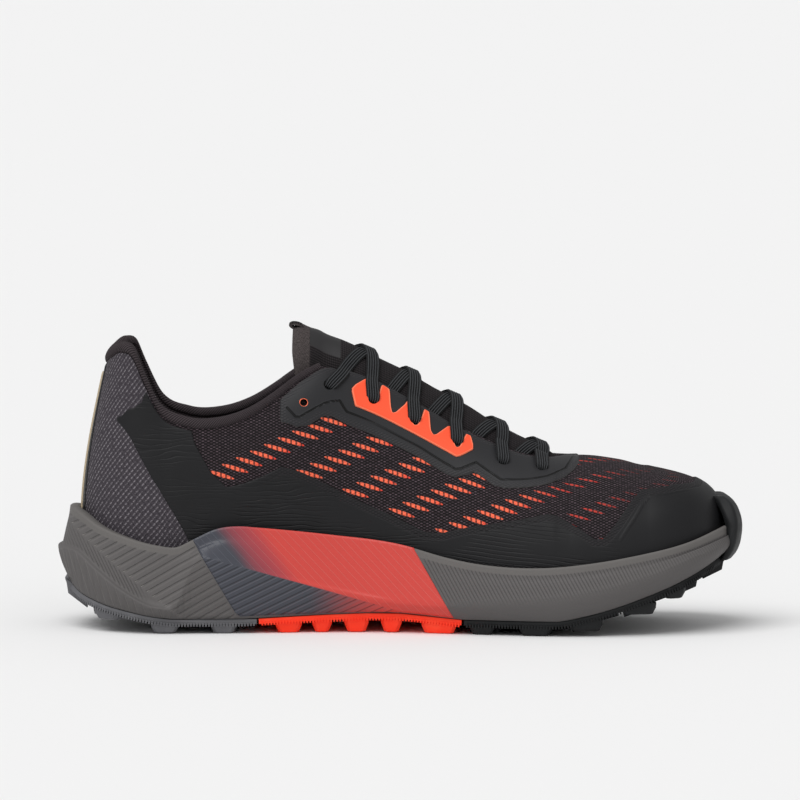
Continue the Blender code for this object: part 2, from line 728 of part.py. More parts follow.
def disc_rows(w, radius, shares, height):
    """Points from the edge of a flat-lying sheet to its spine, at the height of their own x."""
    rows = []
    for share in shares:
        flat = on_ray(w, radius * share, 0)
        flat[..., 2] = height(flat[..., 0])
        rows.append(flat)
    return rows


def midsole():
    ways = sole_ways()
    run = loop_of(ways)
    index = np.array(list(range(len(ways))) + list(range(len(ways) - 2, 0, -1)))
    rib = np.where((np.abs(run) < RIB_END) & (index % 2 == 1), RIB_DEPTH, 0.0)
    bottom_radius = sole_radius(run) - SOLE_TUCK * half_width(run)
    rows = disc_rows(run, bottom_radius, [0.0, 0.55], foam_bottom)
    rows += [sole_side(run, row, rib) for row in ("parting", "lower", "crease", "ledge", "middle", "band", "rim")]
    tray = tray_radius(run)
    lip = on_ray(run, tray, 0)
    lip[:, 2] = rows[-1][:, 2] - RIM_ROUND
    rows.append(lip)
    rows += disc_rows(run, tray, [1.0, 0.55, 0.0], lambda x: level("floor", x))
    points = np.stack(rows, axis=1)
    return closed_body("midsole", points, grid_faces(len(run), len(rows), True), "foam")


def support_film():
    """The medial film: its columns lean forward, as its ends do, and its rows are the foam's own."""
    names = ["parting", "lower", "crease", "ledge", "middle", "band"]
    starts = np.linspace(FILM_REAR, FILM_FRONT, 10)
    lean = [0.062, 0.045, 0.026, 0.024, 0.012, 0.002]
    rows = []
    for name, forward in zip(names, lean):
        w = -(starts[::-1] + forward)
        point = sole_side(w, name, 0.0)
        if name == "parting":
            point = point + 0.25 * (sole_side(w, "lower", 0.0) - point)
        dx, dy = ray(w)
        rows.append(point + SUPPORT_GAP * np.stack([dx, dy, 0 * w], axis=-1))
    points = np.stack(rows, axis=1)
    sheet = object_of("support_film", points, grid_faces(len(starts), len(names), False), "support")
    return thicken(sheet, SUPPORT)


def toe_bumper():
    """The rubber tab up the front of the toe, from the plate over the foam's rim to the toe film."""
    run = wrapped(np.array([0.944, 0.972, 1.0, 1.028, 1.056]))
    rows = []
    for name in ("parting", "lower", "crease", "middle", "band", "rim"):
        point = sole_side(run, name, 0.0)
        if name == "parting":
            point = point + 0.4 * (sole_side(run, "lower", 0.0) - point)
        dx, dy = ray(run)
        rows.append(point + BUMPER_GAP * np.stack([dx, dy, 0 * dx], axis=-1))
    for share in (0.38, 0.56):
        t = t_of_height(run, np.full(run.shape, share))
        rows.append(skin_at(run, t, np.full(run.shape, FILM_GAP + FILM + BUMPER_GAP)))
    points = np.stack(rows, axis=1)
    sheet = object_of("toe_bumper", points, grid_faces(len(run), len(rows), False), "black_rubber")
    return thicken(sheet, BUMPER)


def lug(name, share, length, low, high, tilt, group):
    """A tapered lug: its root is inside the plate and its foot follows the ground line."""
    taper = 0.82
    x = (share - 0.5) * LENGTH
    half = length * LENGTH / 2
    middle, wide = (low + high) / 2, (high - low) / 2
    outline = [(-tilt, -0.75), (-tilt, 0.75), (tilt, 1.0), (tilt, -1.0)]
    root = [(x + a * half, middle + b * wide) for a, b in outline]
    foot = [(x + a * half * taper, middle + b * wide * taper) for a, b in outline]
    top = [(px, py, foam_bottom(px) - GAP - PLATE / 2) for px, py in root]
    bottom = [(px, py, float(level("ground", px))) for px, py in foot]
    count = len(outline)
    sides = [(i, (i + 1) % count, count + (i + 1) % count, count + i) for i in range(count)]
    faces = [tuple(range(count)), tuple(range(2 * count - 1, count - 1, -1)), *sides]
    return cutter(closed_body(name, top + bottom, faces, "black_rubber", group))


def half_sole_at(share, side):
    """Half width of the plate at a share of the length, on one side."""
    w = side * np.linspace(0, 1, 241)
    edge = on_ray(w, sole_radius(w) - SOLE_TUCK * half_width(w), 0)
    return float(np.interp((share - 0.5) * LENGTH, edge[:, 0], edge[:, 1]))


def outsole(name, surface):
    rear, front = PLATE_ENDS[name]
    inner = [float(w) for w in sole_ways() if (rear or 0) < w < (front or 1)]
    ways = ([rear] if rear else [0.0]) + [w for w in inner if w > 0] + ([front] if front else [1.0])
    lateral, medial = np.array(ways), -np.array(ways[::-1])
    if rear and front:
        runs = [lateral, medial]
    elif front:
        runs = [np.concatenate([medial[:-1], lateral])]
    else:
        runs = [np.concatenate([lateral, medial[1:]])]
    points, faces = [], []
    shares = [0.0, 0.55, 1.0]
    for run in runs:
        radius = sole_radius(run) - SOLE_TUCK * half_width(run) - PLATE_INSET
        rows = disc_rows(run, radius, shares, lambda x: foam_bottom(x) - GAP)
        faces += [tuple(i + len(points) for i in f) for f in grid_faces(len(run), len(shares), False)]
        points += [tuple(p) for p in np.stack(rows, axis=1).reshape(-1, 3)]
    plate = thicken(object_of(name, points, faces, surface), PLATE)
    group = collection(name + " lugs")
    for row, (share, length, span, count) in enumerate(LUGS[name]):
        low, high = half_sole_at(share, -1) * span, half_sole_at(share, 1) * span
        pitch = (high - low) / count
        for i in range(count):
            start = low + (i + 0.16) * pitch
            tilt = 1 if share > 0.45 else -1
            lug(f"{name} lug {row} {i}", share, length, start, start + 0.68 * pitch, tilt, group.name)
    return boolean(plate, "UNION", group)


def insole():
    run = loop_of(sole_ways()[::2])
    radius = column(run, "foot") - WALL - INSOLE_GAP
    rows = disc_rows(run, radius, [1.0, 0.6, 0.0], lambda x: level("floor", x) + GAP)
    sheet = object_of("insole", np.stack(rows, axis=1), grid_faces(len(run), 3, True), "lining")
    return thicken(sheet, INSOLE)


def collar():
    """The padded roll on the collar's edge and the pad that hangs from it inside the wall."""
    ways = [w for w in UPPER_WAYS if w < 0.38] + [0.388]
    run = np.array([-w for w in reversed(ways[1:])] + ways)
    inside = WALL + PAD_GAP
    section = [
        (0.4, 0.0), (0.4, 0.28), (1.1, 0.62), (1.75, 0.20), (1.95, -0.55), (1.6, -1.45), (0.6, -2.1),
    ]  # fmt: skip
    pads = [(0.25, 1.00), (0.62, 0.90), (1.0, 0.35)]
    backs = [1.0, 0.5, 0.12]
    rings = []
    for w in run:
        edge = skin_at(w, 1.0)
        normal = skin_normal(w, 1.0)
        up = skin(w, 1.0) - skin(w, 0.985)
        up /= np.linalg.norm(up)
        ring = [edge + up * (SEAT_GAP + a * 2 * ROLL - 0.4 * 2 * ROLL) + normal * b * ROLL for a, b in section]
        for share, thick in pads:
            t = t_below_edge(w, share * PAD_DEPTH)
            ring.append(skin_at(w, t, -inside - thick * PAD))
        for share in backs:
            t = t_below_edge(w, share * PAD_DEPTH)
            ring.append(skin_at(w, t, -inside))
        ring.append(edge + up * SEAT_GAP - normal * inside)
        rings.append(ring)
    points = np.array(rings)
    count, rows = points.shape[:2]
    faces = [
        (i * rows + k, i * rows + (k + 1) % rows, (i + 1) * rows + (k + 1) % rows, (i + 1) * rows + k)
        for i in range(count - 1)
        for k in range(rows)
    ]
    faces += [tuple(range(rows)), tuple(range((count - 1) * rows, count * rows))]
    return closed_body("collar", points, faces, "collar_knit")


def bridge(way, offset, arch, reach, share, height=1.0):
    """A point over the throat: share runs from -1 at the inner edge to 1 at the outer one."""
    ends = []
    for w in (-way, way):
        t = t_of_height(w, height) if height < 1 else 1.0
        span = float(edge_radius(np.array(w)))
        rise = np.array([0, -math.copysign(reach, w) * span, arch * span])
        ends.append((skin_at(w, t, offset), rise))
    (a, rise_a), (b, rise_b) = ends
    t = (share + 1) / 2
    return (1 - t) ** 3 * a + 3 * t * (1 - t) ** 2 * (a + rise_a) + 3 * t * t * (1 - t) * (b + rise_b) + t**3 * b


def tongue_point(way, share):
    """The tongue's outer face: an arch over the throat with flanks under its edges."""
    inset, arch, reach, part = (float(TONGUE_ROWS(c, way)) for c in ("inset", "arch", "reach", "part"))
    offset = -(WALL + TONGUE_GAP + inset)
    share = share * part
    if abs(share) <= ARCH_PART:
        return bridge(way, offset, arch, reach, share / ARCH_PART)
    w = math.copysign(way, share)
    depth = (abs(share) - ARCH_PART) / (1 - ARCH_PART) * TONGUE_FLANK
    return skin_at(w, t_below_edge(w, depth), offset)


def tongue():
    ways = [0.338, 0.345, 0.355, 0.37, 0.39, 0.415, 0.44, 0.49, 0.536, 0.575, 0.61, 0.65, 0.686, 0.71, 0.735, 0.755]
    shares = [-1, -0.78, -0.6, -0.32, 0, 0.32, 0.6, 0.78, 1]
    points = np.array([[tongue_point(way, share) for share in shares] for way in ways])
    faces = [tuple(reversed(f)) for f in grid_faces(len(ways), len(shares), False)]
    return thicken(object_of("tongue", points, faces, "tongue_knit"), TONGUE, outwards=False)


def tongue_loop():
    """A folded ribbon on the tongue's tip."""
    tip = tongue_point(0.345, 0.0)
    ahead = tongue_point(0.37, 0.0)
    along = ahead - tip
    along /= np.linalg.norm(along)
    up = np.array([-along[2], 0, along[0]])
    width, long, high, thick = 9 * MM, 8 * MM, 2.2 * MM, 0.9 * MM
    rings = []
    for i in range(12):
        angle = 2 * math.pi * i / 12
        out = np.array([math.cos(angle) * long / 2, math.sin(angle) * high / 2])
        inner = out * np.array([1 - 2 * thick / long, 1 - 1.2 * thick / high])
        ring = []
        for (a, b), y in ((out, -1), (out, 1), (inner, 1), (inner, -1)):
            centre = tip + up * (high / 2 + GAP + 0.15 * MM)
            ring.append(centre + along * (a - 0.5 * MM) + up * b + np.array([0, y * width / 2, 0]))
        rings.append(ring)
    faces = [
        (i * 4 + k, i * 4 + (k + 1) % 4, (i + 1) % 12 * 4 + (k + 1) % 4, (i + 1) % 12 * 4 + k)
        for i in range(12)
        for k in range(4)
    ]
    return closed_body("tongue_loop", np.array(rings), faces, "tongue_knit")


def lace_point(way, share, lift):
    """The lace's middle line over the tongue, from the inner row of eyelets to the outer one."""
    number = np.interp(way, EYELETS.data[:, 1], EYELETS.data[:, 0])
    height, arch, reach = (float(EYELETS(c, number)) for c in ("height", "arch", "reach"))
    layers = FILM_GAP + FILM + GUIDE_GAP + FILM + LACE_GAP
    return bridge(way, layers, arch, reach, share, height) + np.array([0, 0, lift * (1 - share * share)])


def lace_strip(name, start, end, lift, group):
    """A flat run of lace between two eyelets, each given as its number and side."""
    stations = np.linspace(0, 1, 7)
    ways = [float(EYELETS("way", n)) for n, _ in (start, end)]
    rings = []
    for s in stations:
        def at(s):
            share = start[1] + (end[1] - start[1]) * s
            return lace_point(ways[0] + (ways[1] - ways[0]) * s, share, lift)
        centre = at(s)
        along = at(min(s + 0.02, 1)) - at(max(s - 0.02, 0))
        along /= np.linalg.norm(along)
        flat = np.cross(along, np.array([0, 0, 1.0]))
        flat /= np.linalg.norm(flat)
        up = np.cross(flat, along)
        corners = ((-1, -1), (1, -1), (1, 1), (-1, 1))
        rings.append([centre + a * flat * LACE_WIDTH / 2 + b * up * LACE_THICKNESS / 2 for a, b in corners])
    count = len(stations)
    faces = [
        (i * 4 + k, i * 4 + (k + 1) % 4, (i + 1) * 4 + (k + 1) % 4, (i + 1) * 4 + k)
        for i in range(count - 1)
        for k in range(4)
    ]
    faces += [(0, 1, 2, 3), tuple(range(count * 4 - 4, count * 4))]
    return closed_body(name, np.array(rings), faces, "lace", group)


def laces():
    """Every crossing and the bar at the front, joined where they cross and at the eyelets."""
    first = lace_strip("laces", (EYELET_COUNT, -1), (EYELET_COUNT, 1), 0.0, "Trail running shoe")
    group = collection("Lace crossings")
    for number in range(1, EYELET_COUNT):
        for side in (-1, 1):
            lift = LACE_CROSSING if side > 0 else 0.0
            name = f"lace crossing {number} {side}"
            cutter(lace_strip(name, (number, side), (number + 1, -side), lift, group.name))
    return boolean(first, "UNION", group)


def eyelet_cutters():
    """One joined cutter through every eyelet of the upper and its films."""
    places = [(float(EYELETS("way", n)), float(EYELETS("height", n))) for n in range(1, EYELET_COUNT + 1)]
    places.append(SPARE_EYELET)
    work = bmesh.new()
    for way, height in places:
        for w in (-way, way):
            t = t_of_height(w, height)
            centre, normal = skin_at(w, t), skin_normal(w, t)
            turn = Vector(normal).to_track_quat("Z", "Y").to_matrix().to_4x4()
            turn.translation = Vector(centre)
            radius = EYELET_BORE / 2
            bmesh.ops.create_cone(
                work, cap_ends=True, segments=6, radius1=radius, radius2=radius, depth=14 * MM, matrix=turn
            )
    mesh = bpy.data.meshes.new("Eyelets")
    work.to_mesh(mesh)
    work.free()
    made = bpy.data.objects.new("Eyelets", mesh)
    collection("Cutters").objects.link(made)
    return cutter(made)


def main():
    for old in list(bpy.data.objects):
        bpy.data.objects.remove(old)
    shell = upper()
    mudguard()
    heel_panels()
    heel_trim()
    stay = eyestay()
    lace_guides()
    holes = eyelet_cutters()
    boolean(shell, "DIFFERENCE", holes)
    boolean(stay, "DIFFERENCE", holes)
    midsole()
    support_film()
    toe_bumper()
    outsole("outsole_heel", "grey_rubber")
    outsole("outsole_arch", "orange_rubber")
    outsole("outsole_forefoot", "black_rubber")
    insole()
    collar()
    tongue()
    tongue_loop()
    laces()


main()
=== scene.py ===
"""A left trail running shoe, laced and empty, seen from its inner side. Metres, +Z up, toe to +X.

The upper is one surface worked out from rays: w is 0 at the back of the heel and 1 at the tip of the toe,
positive along the outer side. Every film, eyelet and lace is placed by w and by its share of the wall's
height."""

import math

import bmesh
import bpy
import numpy as np
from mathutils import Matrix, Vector


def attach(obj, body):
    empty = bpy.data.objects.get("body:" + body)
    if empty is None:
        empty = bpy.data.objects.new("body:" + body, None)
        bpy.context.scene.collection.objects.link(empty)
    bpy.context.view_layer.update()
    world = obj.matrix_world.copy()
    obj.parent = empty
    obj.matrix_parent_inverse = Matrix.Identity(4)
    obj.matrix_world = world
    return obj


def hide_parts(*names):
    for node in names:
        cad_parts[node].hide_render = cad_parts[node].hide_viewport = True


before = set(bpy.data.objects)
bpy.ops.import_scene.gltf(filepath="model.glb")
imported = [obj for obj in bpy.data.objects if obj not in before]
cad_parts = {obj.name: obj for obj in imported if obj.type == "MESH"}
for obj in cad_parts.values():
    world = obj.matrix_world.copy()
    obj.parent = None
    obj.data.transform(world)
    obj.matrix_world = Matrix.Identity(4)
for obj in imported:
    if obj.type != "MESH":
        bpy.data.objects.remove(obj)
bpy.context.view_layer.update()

# Sizes of the last, the sole and the pieces.
MM = 0.001
LENGTH = 300 * MM
BALL_WIDTH = 110 * MM
HEEL_WIDTH = 90 * MM
HEEL_HEIGHT = 118 * MM
ANKLE_HEIGHT = 86 * MM
INSTEP_HEIGHT = 112.5 * MM
VAMP_HEIGHT = 75 * MM
STACK_HEIGHT = 33 * MM
LUG_DEPTH = 4.0 * MM
PLATE = 2.3 * MM
PLATE_INSET = 0.4 * MM
SOLE_TUCK = 0.08
WALL = 2.4 * MM
FILM = 0.8 * MM
BUMPER = 2.0 * MM
TONGUE = 4.5 * MM
TONGUE_FLANK = 13 * MM
ARCH_PART = 0.6
LACE_WIDTH = 6.0 * MM
EYELET_BORE = 4.6 * MM
PAD = 4.2 * MM
PAD_DEPTH = 26 * MM
RIB_DEPTH = 0.9 * MM
HEEL_STEP = 1.6 * MM
STEP_END = 0.17
STEP_FADE = 0.03
LEDGE = 0.3 * MM
LEDGE_RISE = 0.9 * MM
RIM_BAND = 4.2 * MM
RIM_ROUND = 0.4 * MM
CREASE_ROOM = (3 * MM, 7 * MM)
GAP = 0.3 * MM
FILM_GAP = 0.5 * MM
RIM_GAP = 0.6 * MM
BUMPER_GAP = 0.8 * MM
TONGUE_GAP = 0.8 * MM

# Places along the shoe, as ways, and the spine's shift as a share of the ball's width.
HEEL_FAN = 0.15
TOE_FAN = 0.86
THROAT_FRONT = 0.735
THROAT_ROUNDING = 0.075
SPINE_SHIFT = 0.0205
EDGE_SAMPLE = 0.985
BEND_SPREAD = 0.012
BEND_REACH = 0.035
COLLAR_FRONT = 0.412
COLLAR_FADE = 0.025
ROLL_FRONT = 0.388
RIBS = 8
RIB_END = 0.21
FILM_REAR = 0.20
FILM_FRONT = 0.52

# Sizes of what is dressed on them. The lace's lean is a way, and its three aheads are shares of the step from
# one eyelet to the next.
SPARE_BORE = 3.6 * MM
RING = 0.26 * MM
TOOTH = {"Pitch": 1.3 * MM, "Length": 0.65 * MM, "Depth": 1.1 * MM, "Height": 1.6 * MM}
TOOTH_MARGIN = 1.2 * MM
EDGE_ROUND = 0.45 * MM
HOLE_DEPTH = 11 * MM
COLLAR_LIFT = 3.6 * MM
LACE_LEAN = 0.022
OVER_AHEAD = 0.3
UNDER_AHEAD = 0.42
END_AHEAD = 0.06
LACE_LIE = 0.75 * MM
LACE_OVER = 1.2 * MM
FILM_LEAN = 0.58
WORLD_STRENGTH = 0.5
SUNS = [("Key", 1.9, 50, (26, -20, 0)), ("Fill", 0.35, 90, (62, 14, 0))]
CAMERA_TILT = 5.0
CAMERA_AIM = (0.0, 0.0989)
CAMERA_DISTANCE = 4.0
CAMERA_VIEW = 0.3505


class Table:
    """Named columns, read between the rows by a smooth curve that stays level where two rows agree."""

    def __init__(self, columns, rows):
        self.columns = columns.split()
        self.data = np.array(rows, float)

    def __call__(self, column, at):
        x = self.data[:, 0]
        y = self.data[:, self.columns.index(column)]
        secant = np.diff(y) / np.diff(x)
        before, after = np.diff(x)[:-1], np.diff(x)[1:]
        inner = (secant[:-1] * after + secant[1:] * before) / (before + after)
        inner[(np.abs(secant[:-1]) < 1e-9) | (np.abs(secant[1:]) < 1e-9)] = 0.0
        slope = np.concatenate([[secant[0]], inner, [secant[-1]]])
        at = np.clip(np.asarray(at, float), x[0], x[-1])
        i = np.clip(np.searchsorted(x, at, side="right") - 1, 0, len(x) - 2)
        step = x[i + 1] - x[i]
        t = (at - x[i]) / step
        low = (1 + 2 * t) * (1 - t) ** 2 * y[i] + t * (1 - t) ** 2 * step * slope[i]
        high = t * t * (3 - 2 * t) * y[i + 1] - t * t * (1 - t) * step * slope[i + 1]
        return low + high

    def straight(self, column, at):
        """The column read with straight lines between the rows, so that its corners stay sharp."""
        return np.interp(at, self.data[:, 0], self.data[:, self.columns.index(column)])


# Half widths of the sole and of the upper's foot and top edge, as shares of the local half width.
# The rows run from the back of the heel to the tip of the toe.
PLAN = Table(
    "way sole_inner sole_outer foot_inner foot_outer edge_inner edge_outer rim_inset bend",
    [
        (0.000, 1.000, 1.000, 0.745, 0.745, 0.530, 0.530, 0.115, 0.000),
        (0.050, 1.003, 1.003, 0.745, 0.745, 0.545, 0.545, 0.113, 0.000),
        (0.100, 1.000, 1.005, 0.742, 0.750, 0.567, 0.567, 0.110, 0.000),
        (0.150, 0.985, 1.000, 0.735, 0.757, 0.610, 0.610, 0.105, 0.000),
        (0.190, 0.972, 0.996, 0.726, 0.764, 0.655, 0.655, 0.100, 0.000),
        (0.250, 0.955, 0.990, 0.715, 0.775, 0.667, 0.678, 0.092, 0.004),
        (0.320, 0.915, 0.972, 0.700, 0.780, 0.610, 0.643, 0.085, 0.012),
        (0.360, 0.875, 0.945, 0.683, 0.772, 0.522, 0.565, 0.080, 0.018),
        (0.400, 0.835, 0.918, 0.660, 0.757, 0.400, 0.440, 0.076, 0.022),
        (0.455, 0.800, 0.898, 0.640, 0.738, 0.309, 0.339, 0.071, 0.024),
        (0.510, 0.803, 0.888, 0.652, 0.733, 0.275, 0.294, 0.067, 0.020),
        (0.570, 0.840, 0.905, 0.692, 0.758, 0.250, 0.264, 0.064, 0.008),
        (0.630, 0.900, 0.945, 0.760, 0.795, 0.238, 0.246, 0.063, -0.012),
        (0.700, 0.965, 0.985, 0.828, 0.830, 0.230, 0.236, 0.063, -0.032),
        (0.760, 0.990, 0.960, 0.845, 0.815, 0.225, 0.230, 0.063, -0.045),
        (0.820, 0.965, 0.895, 0.823, 0.750, 0.220, 0.225, 0.063, -0.053),
        (0.860, 0.920, 0.832, 0.773, 0.688, 0.220, 0.220, 0.062, -0.056),
        (0.910, 0.825, 0.765, 0.694, 0.624, 0.220, 0.220, 0.052, -0.056),
        (0.955, 0.742, 0.718, 0.628, 0.606, 0.220, 0.220, 0.036, -0.056),
        (1.000, 0.709, 0.709, 0.611, 0.611, 0.220, 0.220, 0.027, -0.056),
    ],
)

# The upper's top edge and the shape of its wall. bulge and reach are shares of the foot's half width,
# rise is a share of the wall's height, and lean is in degrees.
WALLS = Table(
    "way top bulge rise lean reach",
    [
        (0.000, 0.945 * HEEL_HEIGHT, 0.045, 0.36, 78, 0.74),
        (0.050, 0.979 * HEEL_HEIGHT, 0.045, 0.36, 78, 0.74),
        (0.080, 1.000 * HEEL_HEIGHT, 0.042, 0.36, 79, 0.74),
        (0.105, 0.980 * HEEL_HEIGHT, 0.040, 0.37, 80, 0.70),
        (0.125, 0.894 * HEEL_HEIGHT, 0.040, 0.38, 81, 0.62),
        (0.150, 0.784 * HEEL_HEIGHT, 0.038, 0.40, 80, 0.52),
        (0.190, 1.003 * ANKLE_HEIGHT, 0.036, 0.41, 78, 0.46),
        (0.235, 1.000 * ANKLE_HEIGHT, 0.034, 0.42, 75, 0.43),
        (0.280, 1.050 * ANKLE_HEIGHT, 0.032, 0.42, 72, 0.46),
        (0.320, 0.871 * INSTEP_HEIGHT, 0.030, 0.42, 66, 0.50),
        (0.360, 0.956 * INSTEP_HEIGHT, 0.030, 0.42, 58, 0.54),
        (0.395, 1.000 * INSTEP_HEIGHT, 0.030, 0.42, 52, 0.52),
        (0.410, 0.994 * INSTEP_HEIGHT, 0.030, 0.42, 50, 0.50),
        (0.455, 0.956 * INSTEP_HEIGHT, 0.030, 0.43, 47, 0.46),
        (0.510, 0.887 * INSTEP_HEIGHT, 0.030, 0.44, 44, 0.45),
        (0.570, 0.804 * INSTEP_HEIGHT, 0.028, 0.46, 40, 0.45),
        (0.630, 0.731 * INSTEP_HEIGHT, 0.026, 0.48, 34, 0.47),
        (0.685, 1.016 * VAMP_HEIGHT, 0.024, 0.50, 24, 0.50),
        (0.715, 0.998 * VAMP_HEIGHT, 0.024, 0.52, 14, 0.53),
        (0.735, 0.997 * VAMP_HEIGHT, 0.022, 0.54, 5, 0.55),
        (0.760, 0.997 * VAMP_HEIGHT, 0.022, 0.56, 1, 0.57),
        (0.820, 0.971 * VAMP_HEIGHT, 0.020, 0.60, 0, 0.59),
        (0.860, 0.936 * VAMP_HEIGHT, 0.020, 0.64, 0, 0.61),
        (0.910, 0.936 * VAMP_HEIGHT, 0.020, 0.70, 6, 0.66),
        (0.955, 0.936 * VAMP_HEIGHT, 0.020, 0.76, 10, 0.71),
        (1.000, 0.936 * VAMP_HEIGHT, 0.020, 0.80, 12, 0.74),
    ],
)

# Heights of the sole along the length, as shares of the stack height at the heel.
LEVELS = Table(
    "share ground floor rim_inner rim_outer crease_inner crease_outer",
    [
        (0.000, 0.650, 1.130, 1.610, 1.610, 1.060, 1.060),
        (0.025, 0.370, 1.090, 1.570, 1.570, 1.050, 1.050),
        (0.060, 0.206, 1.045, 1.395, 1.395, 0.810, 0.810),
        (0.100, 0.108, 1.015, 1.265, 1.265, 0.545, 0.545),
        (0.150, 0.020, 1.000, 1.155, 1.160, 0.350, 0.350),
        (0.175, 0.000, 1.000, 1.135, 1.155, 0.380, 0.420),
        (0.200, 0.000, 0.995, 1.235, 1.185, 0.880, 0.570),
        (0.235, 0.000, 0.988, 1.375, 1.230, 0.970, 0.600),
        (0.270, 0.000, 0.980, 1.405, 1.250, 0.885, 0.610),
        (0.290, 0.007, 0.965, 1.390, 1.240, 0.835, 0.610),
        (0.400, 0.048, 0.900, 1.285, 1.180, 0.580, 0.610),
        (0.500, 0.067, 0.830, 1.165, 1.080, 0.420, 0.560),
        (0.570, 0.015, 0.785, 1.000, 0.970, 0.400, 0.500),
        (0.595, 0.000, 0.770, 0.955, 0.935, 0.420, 0.490),
        (0.650, 0.000, 0.735, 0.900, 0.905, 0.450, 0.480),
        (0.720, 0.000, 0.725, 0.905, 0.905, 0.500, 0.510),
        (0.770, 0.079, 0.750, 0.955, 0.950, 0.570, 0.570),
        (0.850, 0.303, 0.840, 1.075, 1.070, 0.760, 0.760),
        (0.920, 0.564, 0.985, 1.215, 1.210, 0.990, 0.990),
        (0.970, 0.794, 1.130, 1.350, 1.340, 1.200, 1.200),
        (1.000, 0.924, 1.240, 1.400, 1.400, 1.300, 1.300),
    ],
)

# The smooth black film, from its lower edge to its upper one, as shares of the wall's height.
MUDGUARD = Table(
    "way low high",
    [
        (0.085, 0.690, 0.702), (0.095, 0.665, 0.718), (0.113, 0.630, 0.815), (0.122, 0.605, 0.900),
        (0.130, 0.580, 0.970), (0.150, 0.50, 0.985), (0.170, 0.36, 0.985), (0.190, 0.17, 0.985),
        (0.198, 0.05, 0.985), (0.225, 0.05, 0.71), (0.248, 0.05, 0.57), (0.262, 0.05, 0.57),
        (0.328, 0.05, 0.60), (0.344, 0.05, 0.55), (0.384, 0.05, 0.435), (0.422, 0.05, 0.37),
        (0.500, 0.05, 0.295), (0.536, 0.05, 0.25), (0.560, 0.05, 0.265), (0.610, 0.05, 0.367),
        (0.683, 0.05, 0.51), (0.712, 0.05, 0.56), (0.728, 0.05, 0.545), (0.759, 0.05, 0.436),
        (0.782, 0.05, 0.34), (0.793, 0.05, 0.343), (0.811, 0.05, 0.468), (0.833, 0.05, 0.676),
        (0.850, 0.05, 0.81), (0.902, 0.05, 0.83), (0.950, 0.05, 0.81), (1.000, 0.05, 0.84),
    ],
)

# Eyelets from the ankle to the toe: way and share of the wall's height.
EYELETS = Table(
    "number way height",
    [
        (1, 0.396, 0.935), (2, 0.460, 0.915), (3, 0.520, 0.905), (4, 0.582, 0.895), (5, 0.649, 0.890),
        (6, 0.706, 0.915),
    ],
)

EYELET_COUNT = 6
SPARE_EYELET = (0.360, 0.900)

# The insole from the middle of its foot over its edge to the middle of its top: share of the radius, and
# height in millimetres. The collar's pad: share of its depth, and of its thickness.
INSOLE_ROWS = [
    (0.0, 0.4), (0.6, 0.4), (0.97, 0.4), (1.0, 1.4), (1.0, 3.4), (0.98, 4.2), (0.9, 4.1), (0.75, 3.5),
    (0.4, 3.2), (0.0, 3.2),
]
PAD_ROWS = [
    (0.0, 0.75), (0.25, 1.0), (0.5, 0.98), (0.75, 0.75), (0.97, 0.2), (1.0, 0.0), (0.6, 0.0), (0.2, 0.0),
]
ROLL_ANGLES = (-125, -80, -35, 10, 55, 100, 145, 190, 225)
SIDES = ((-1.0, "medial"), (1.0, "lateral"))

# The tongue: how far its flanks lie inside the wall and how much of it there is. arch and reach say how high
# and how far inwards it sets out from the throat's edges, as shares of the throat's half width.
TONGUE_ROWS = Table(
    "way inset arch reach part",
    [
        (0.338, 7.5 * MM, 1.67, 0.00, 0.60),
        (0.352, 7.5 * MM, 1.63, 0.00, 0.86),
        (0.370, 7.3 * MM, 1.50, 0.05, 1.00),
        (0.395, 6.5 * MM, 1.41, 0.15, 1.00),
        (0.425, 2.5 * MM, 1.22, 0.33, 1.00),
        (0.455, 0.0 * MM, 1.01, 0.49, 1.00),
        (0.510, 0.0 * MM, 1.00, 0.53, 1.00),
        (0.570, 0.0 * MM, 1.00, 0.58, 1.00),
        (0.630, 0.0 * MM, 0.76, 0.59, 1.00),
        (0.685, 0.0 * MM, 0.56, 0.66, 1.00),
        (0.715, 0.0 * MM, 0.38, 0.75, 1.00),
        (0.735, 0.0 * MM, 0.10, 0.75, 1.00),
        (0.760, 0.0 * MM, 0.00, 0.72, 1.00),
    ],
)

# Sizes of the fine work, in millimetres.
KNIT_CELL = 1.3
MESH_ROW = 1.45
MESH_STEP = 2.2
LACE_RIB = 1.0909
DASH_START = (-53.5, 80.3)
DASH_DOWN = (-6.1, -2.87)
DASH_OVER = (38.4, 0.2)
DASH_SLANT = 17.0
DASH_LENGTH = 11.6
DASH_HALF = 1.0
DASH_BEAD = 4.4
BORDER = 3.6
FRONT_GROOVES = 26.0
GROOVE_START = (-135.9, 39.4)
GROOVE_START_FALL = 0.81
GROOVE_TURN = 30.0
GROOVE_PITCH = 3.1
FAN_PITCH = 1.25
FINE_PITCH = 1.47
HEEL_FOAM_END = (-66.3, -67.8)
CREASE_AT = (-86.7, 34.7)
CREASE_SLOPE = -0.286
FILM_LINES = 2.63
FILM_RIBS = 2.75

# Creases of the upper: place on the cloth and height, turn in degrees, length, width and depth, all but the
# turn in millimetres.
CREASES = [
    (44, 50, 30, 16, 3.0, -0.22),
    (60, 52, 40, 12, 3.2, 0.2),
    (-60, 64, -24, 15, 3.4, -0.28),
    (-69, 58, -22, 12, 3.2, 0.22),
    (-98, 66, -58, 15, 3.6, -0.3),
    (112, 60, 30, 16, 5.0, -0.3),
]

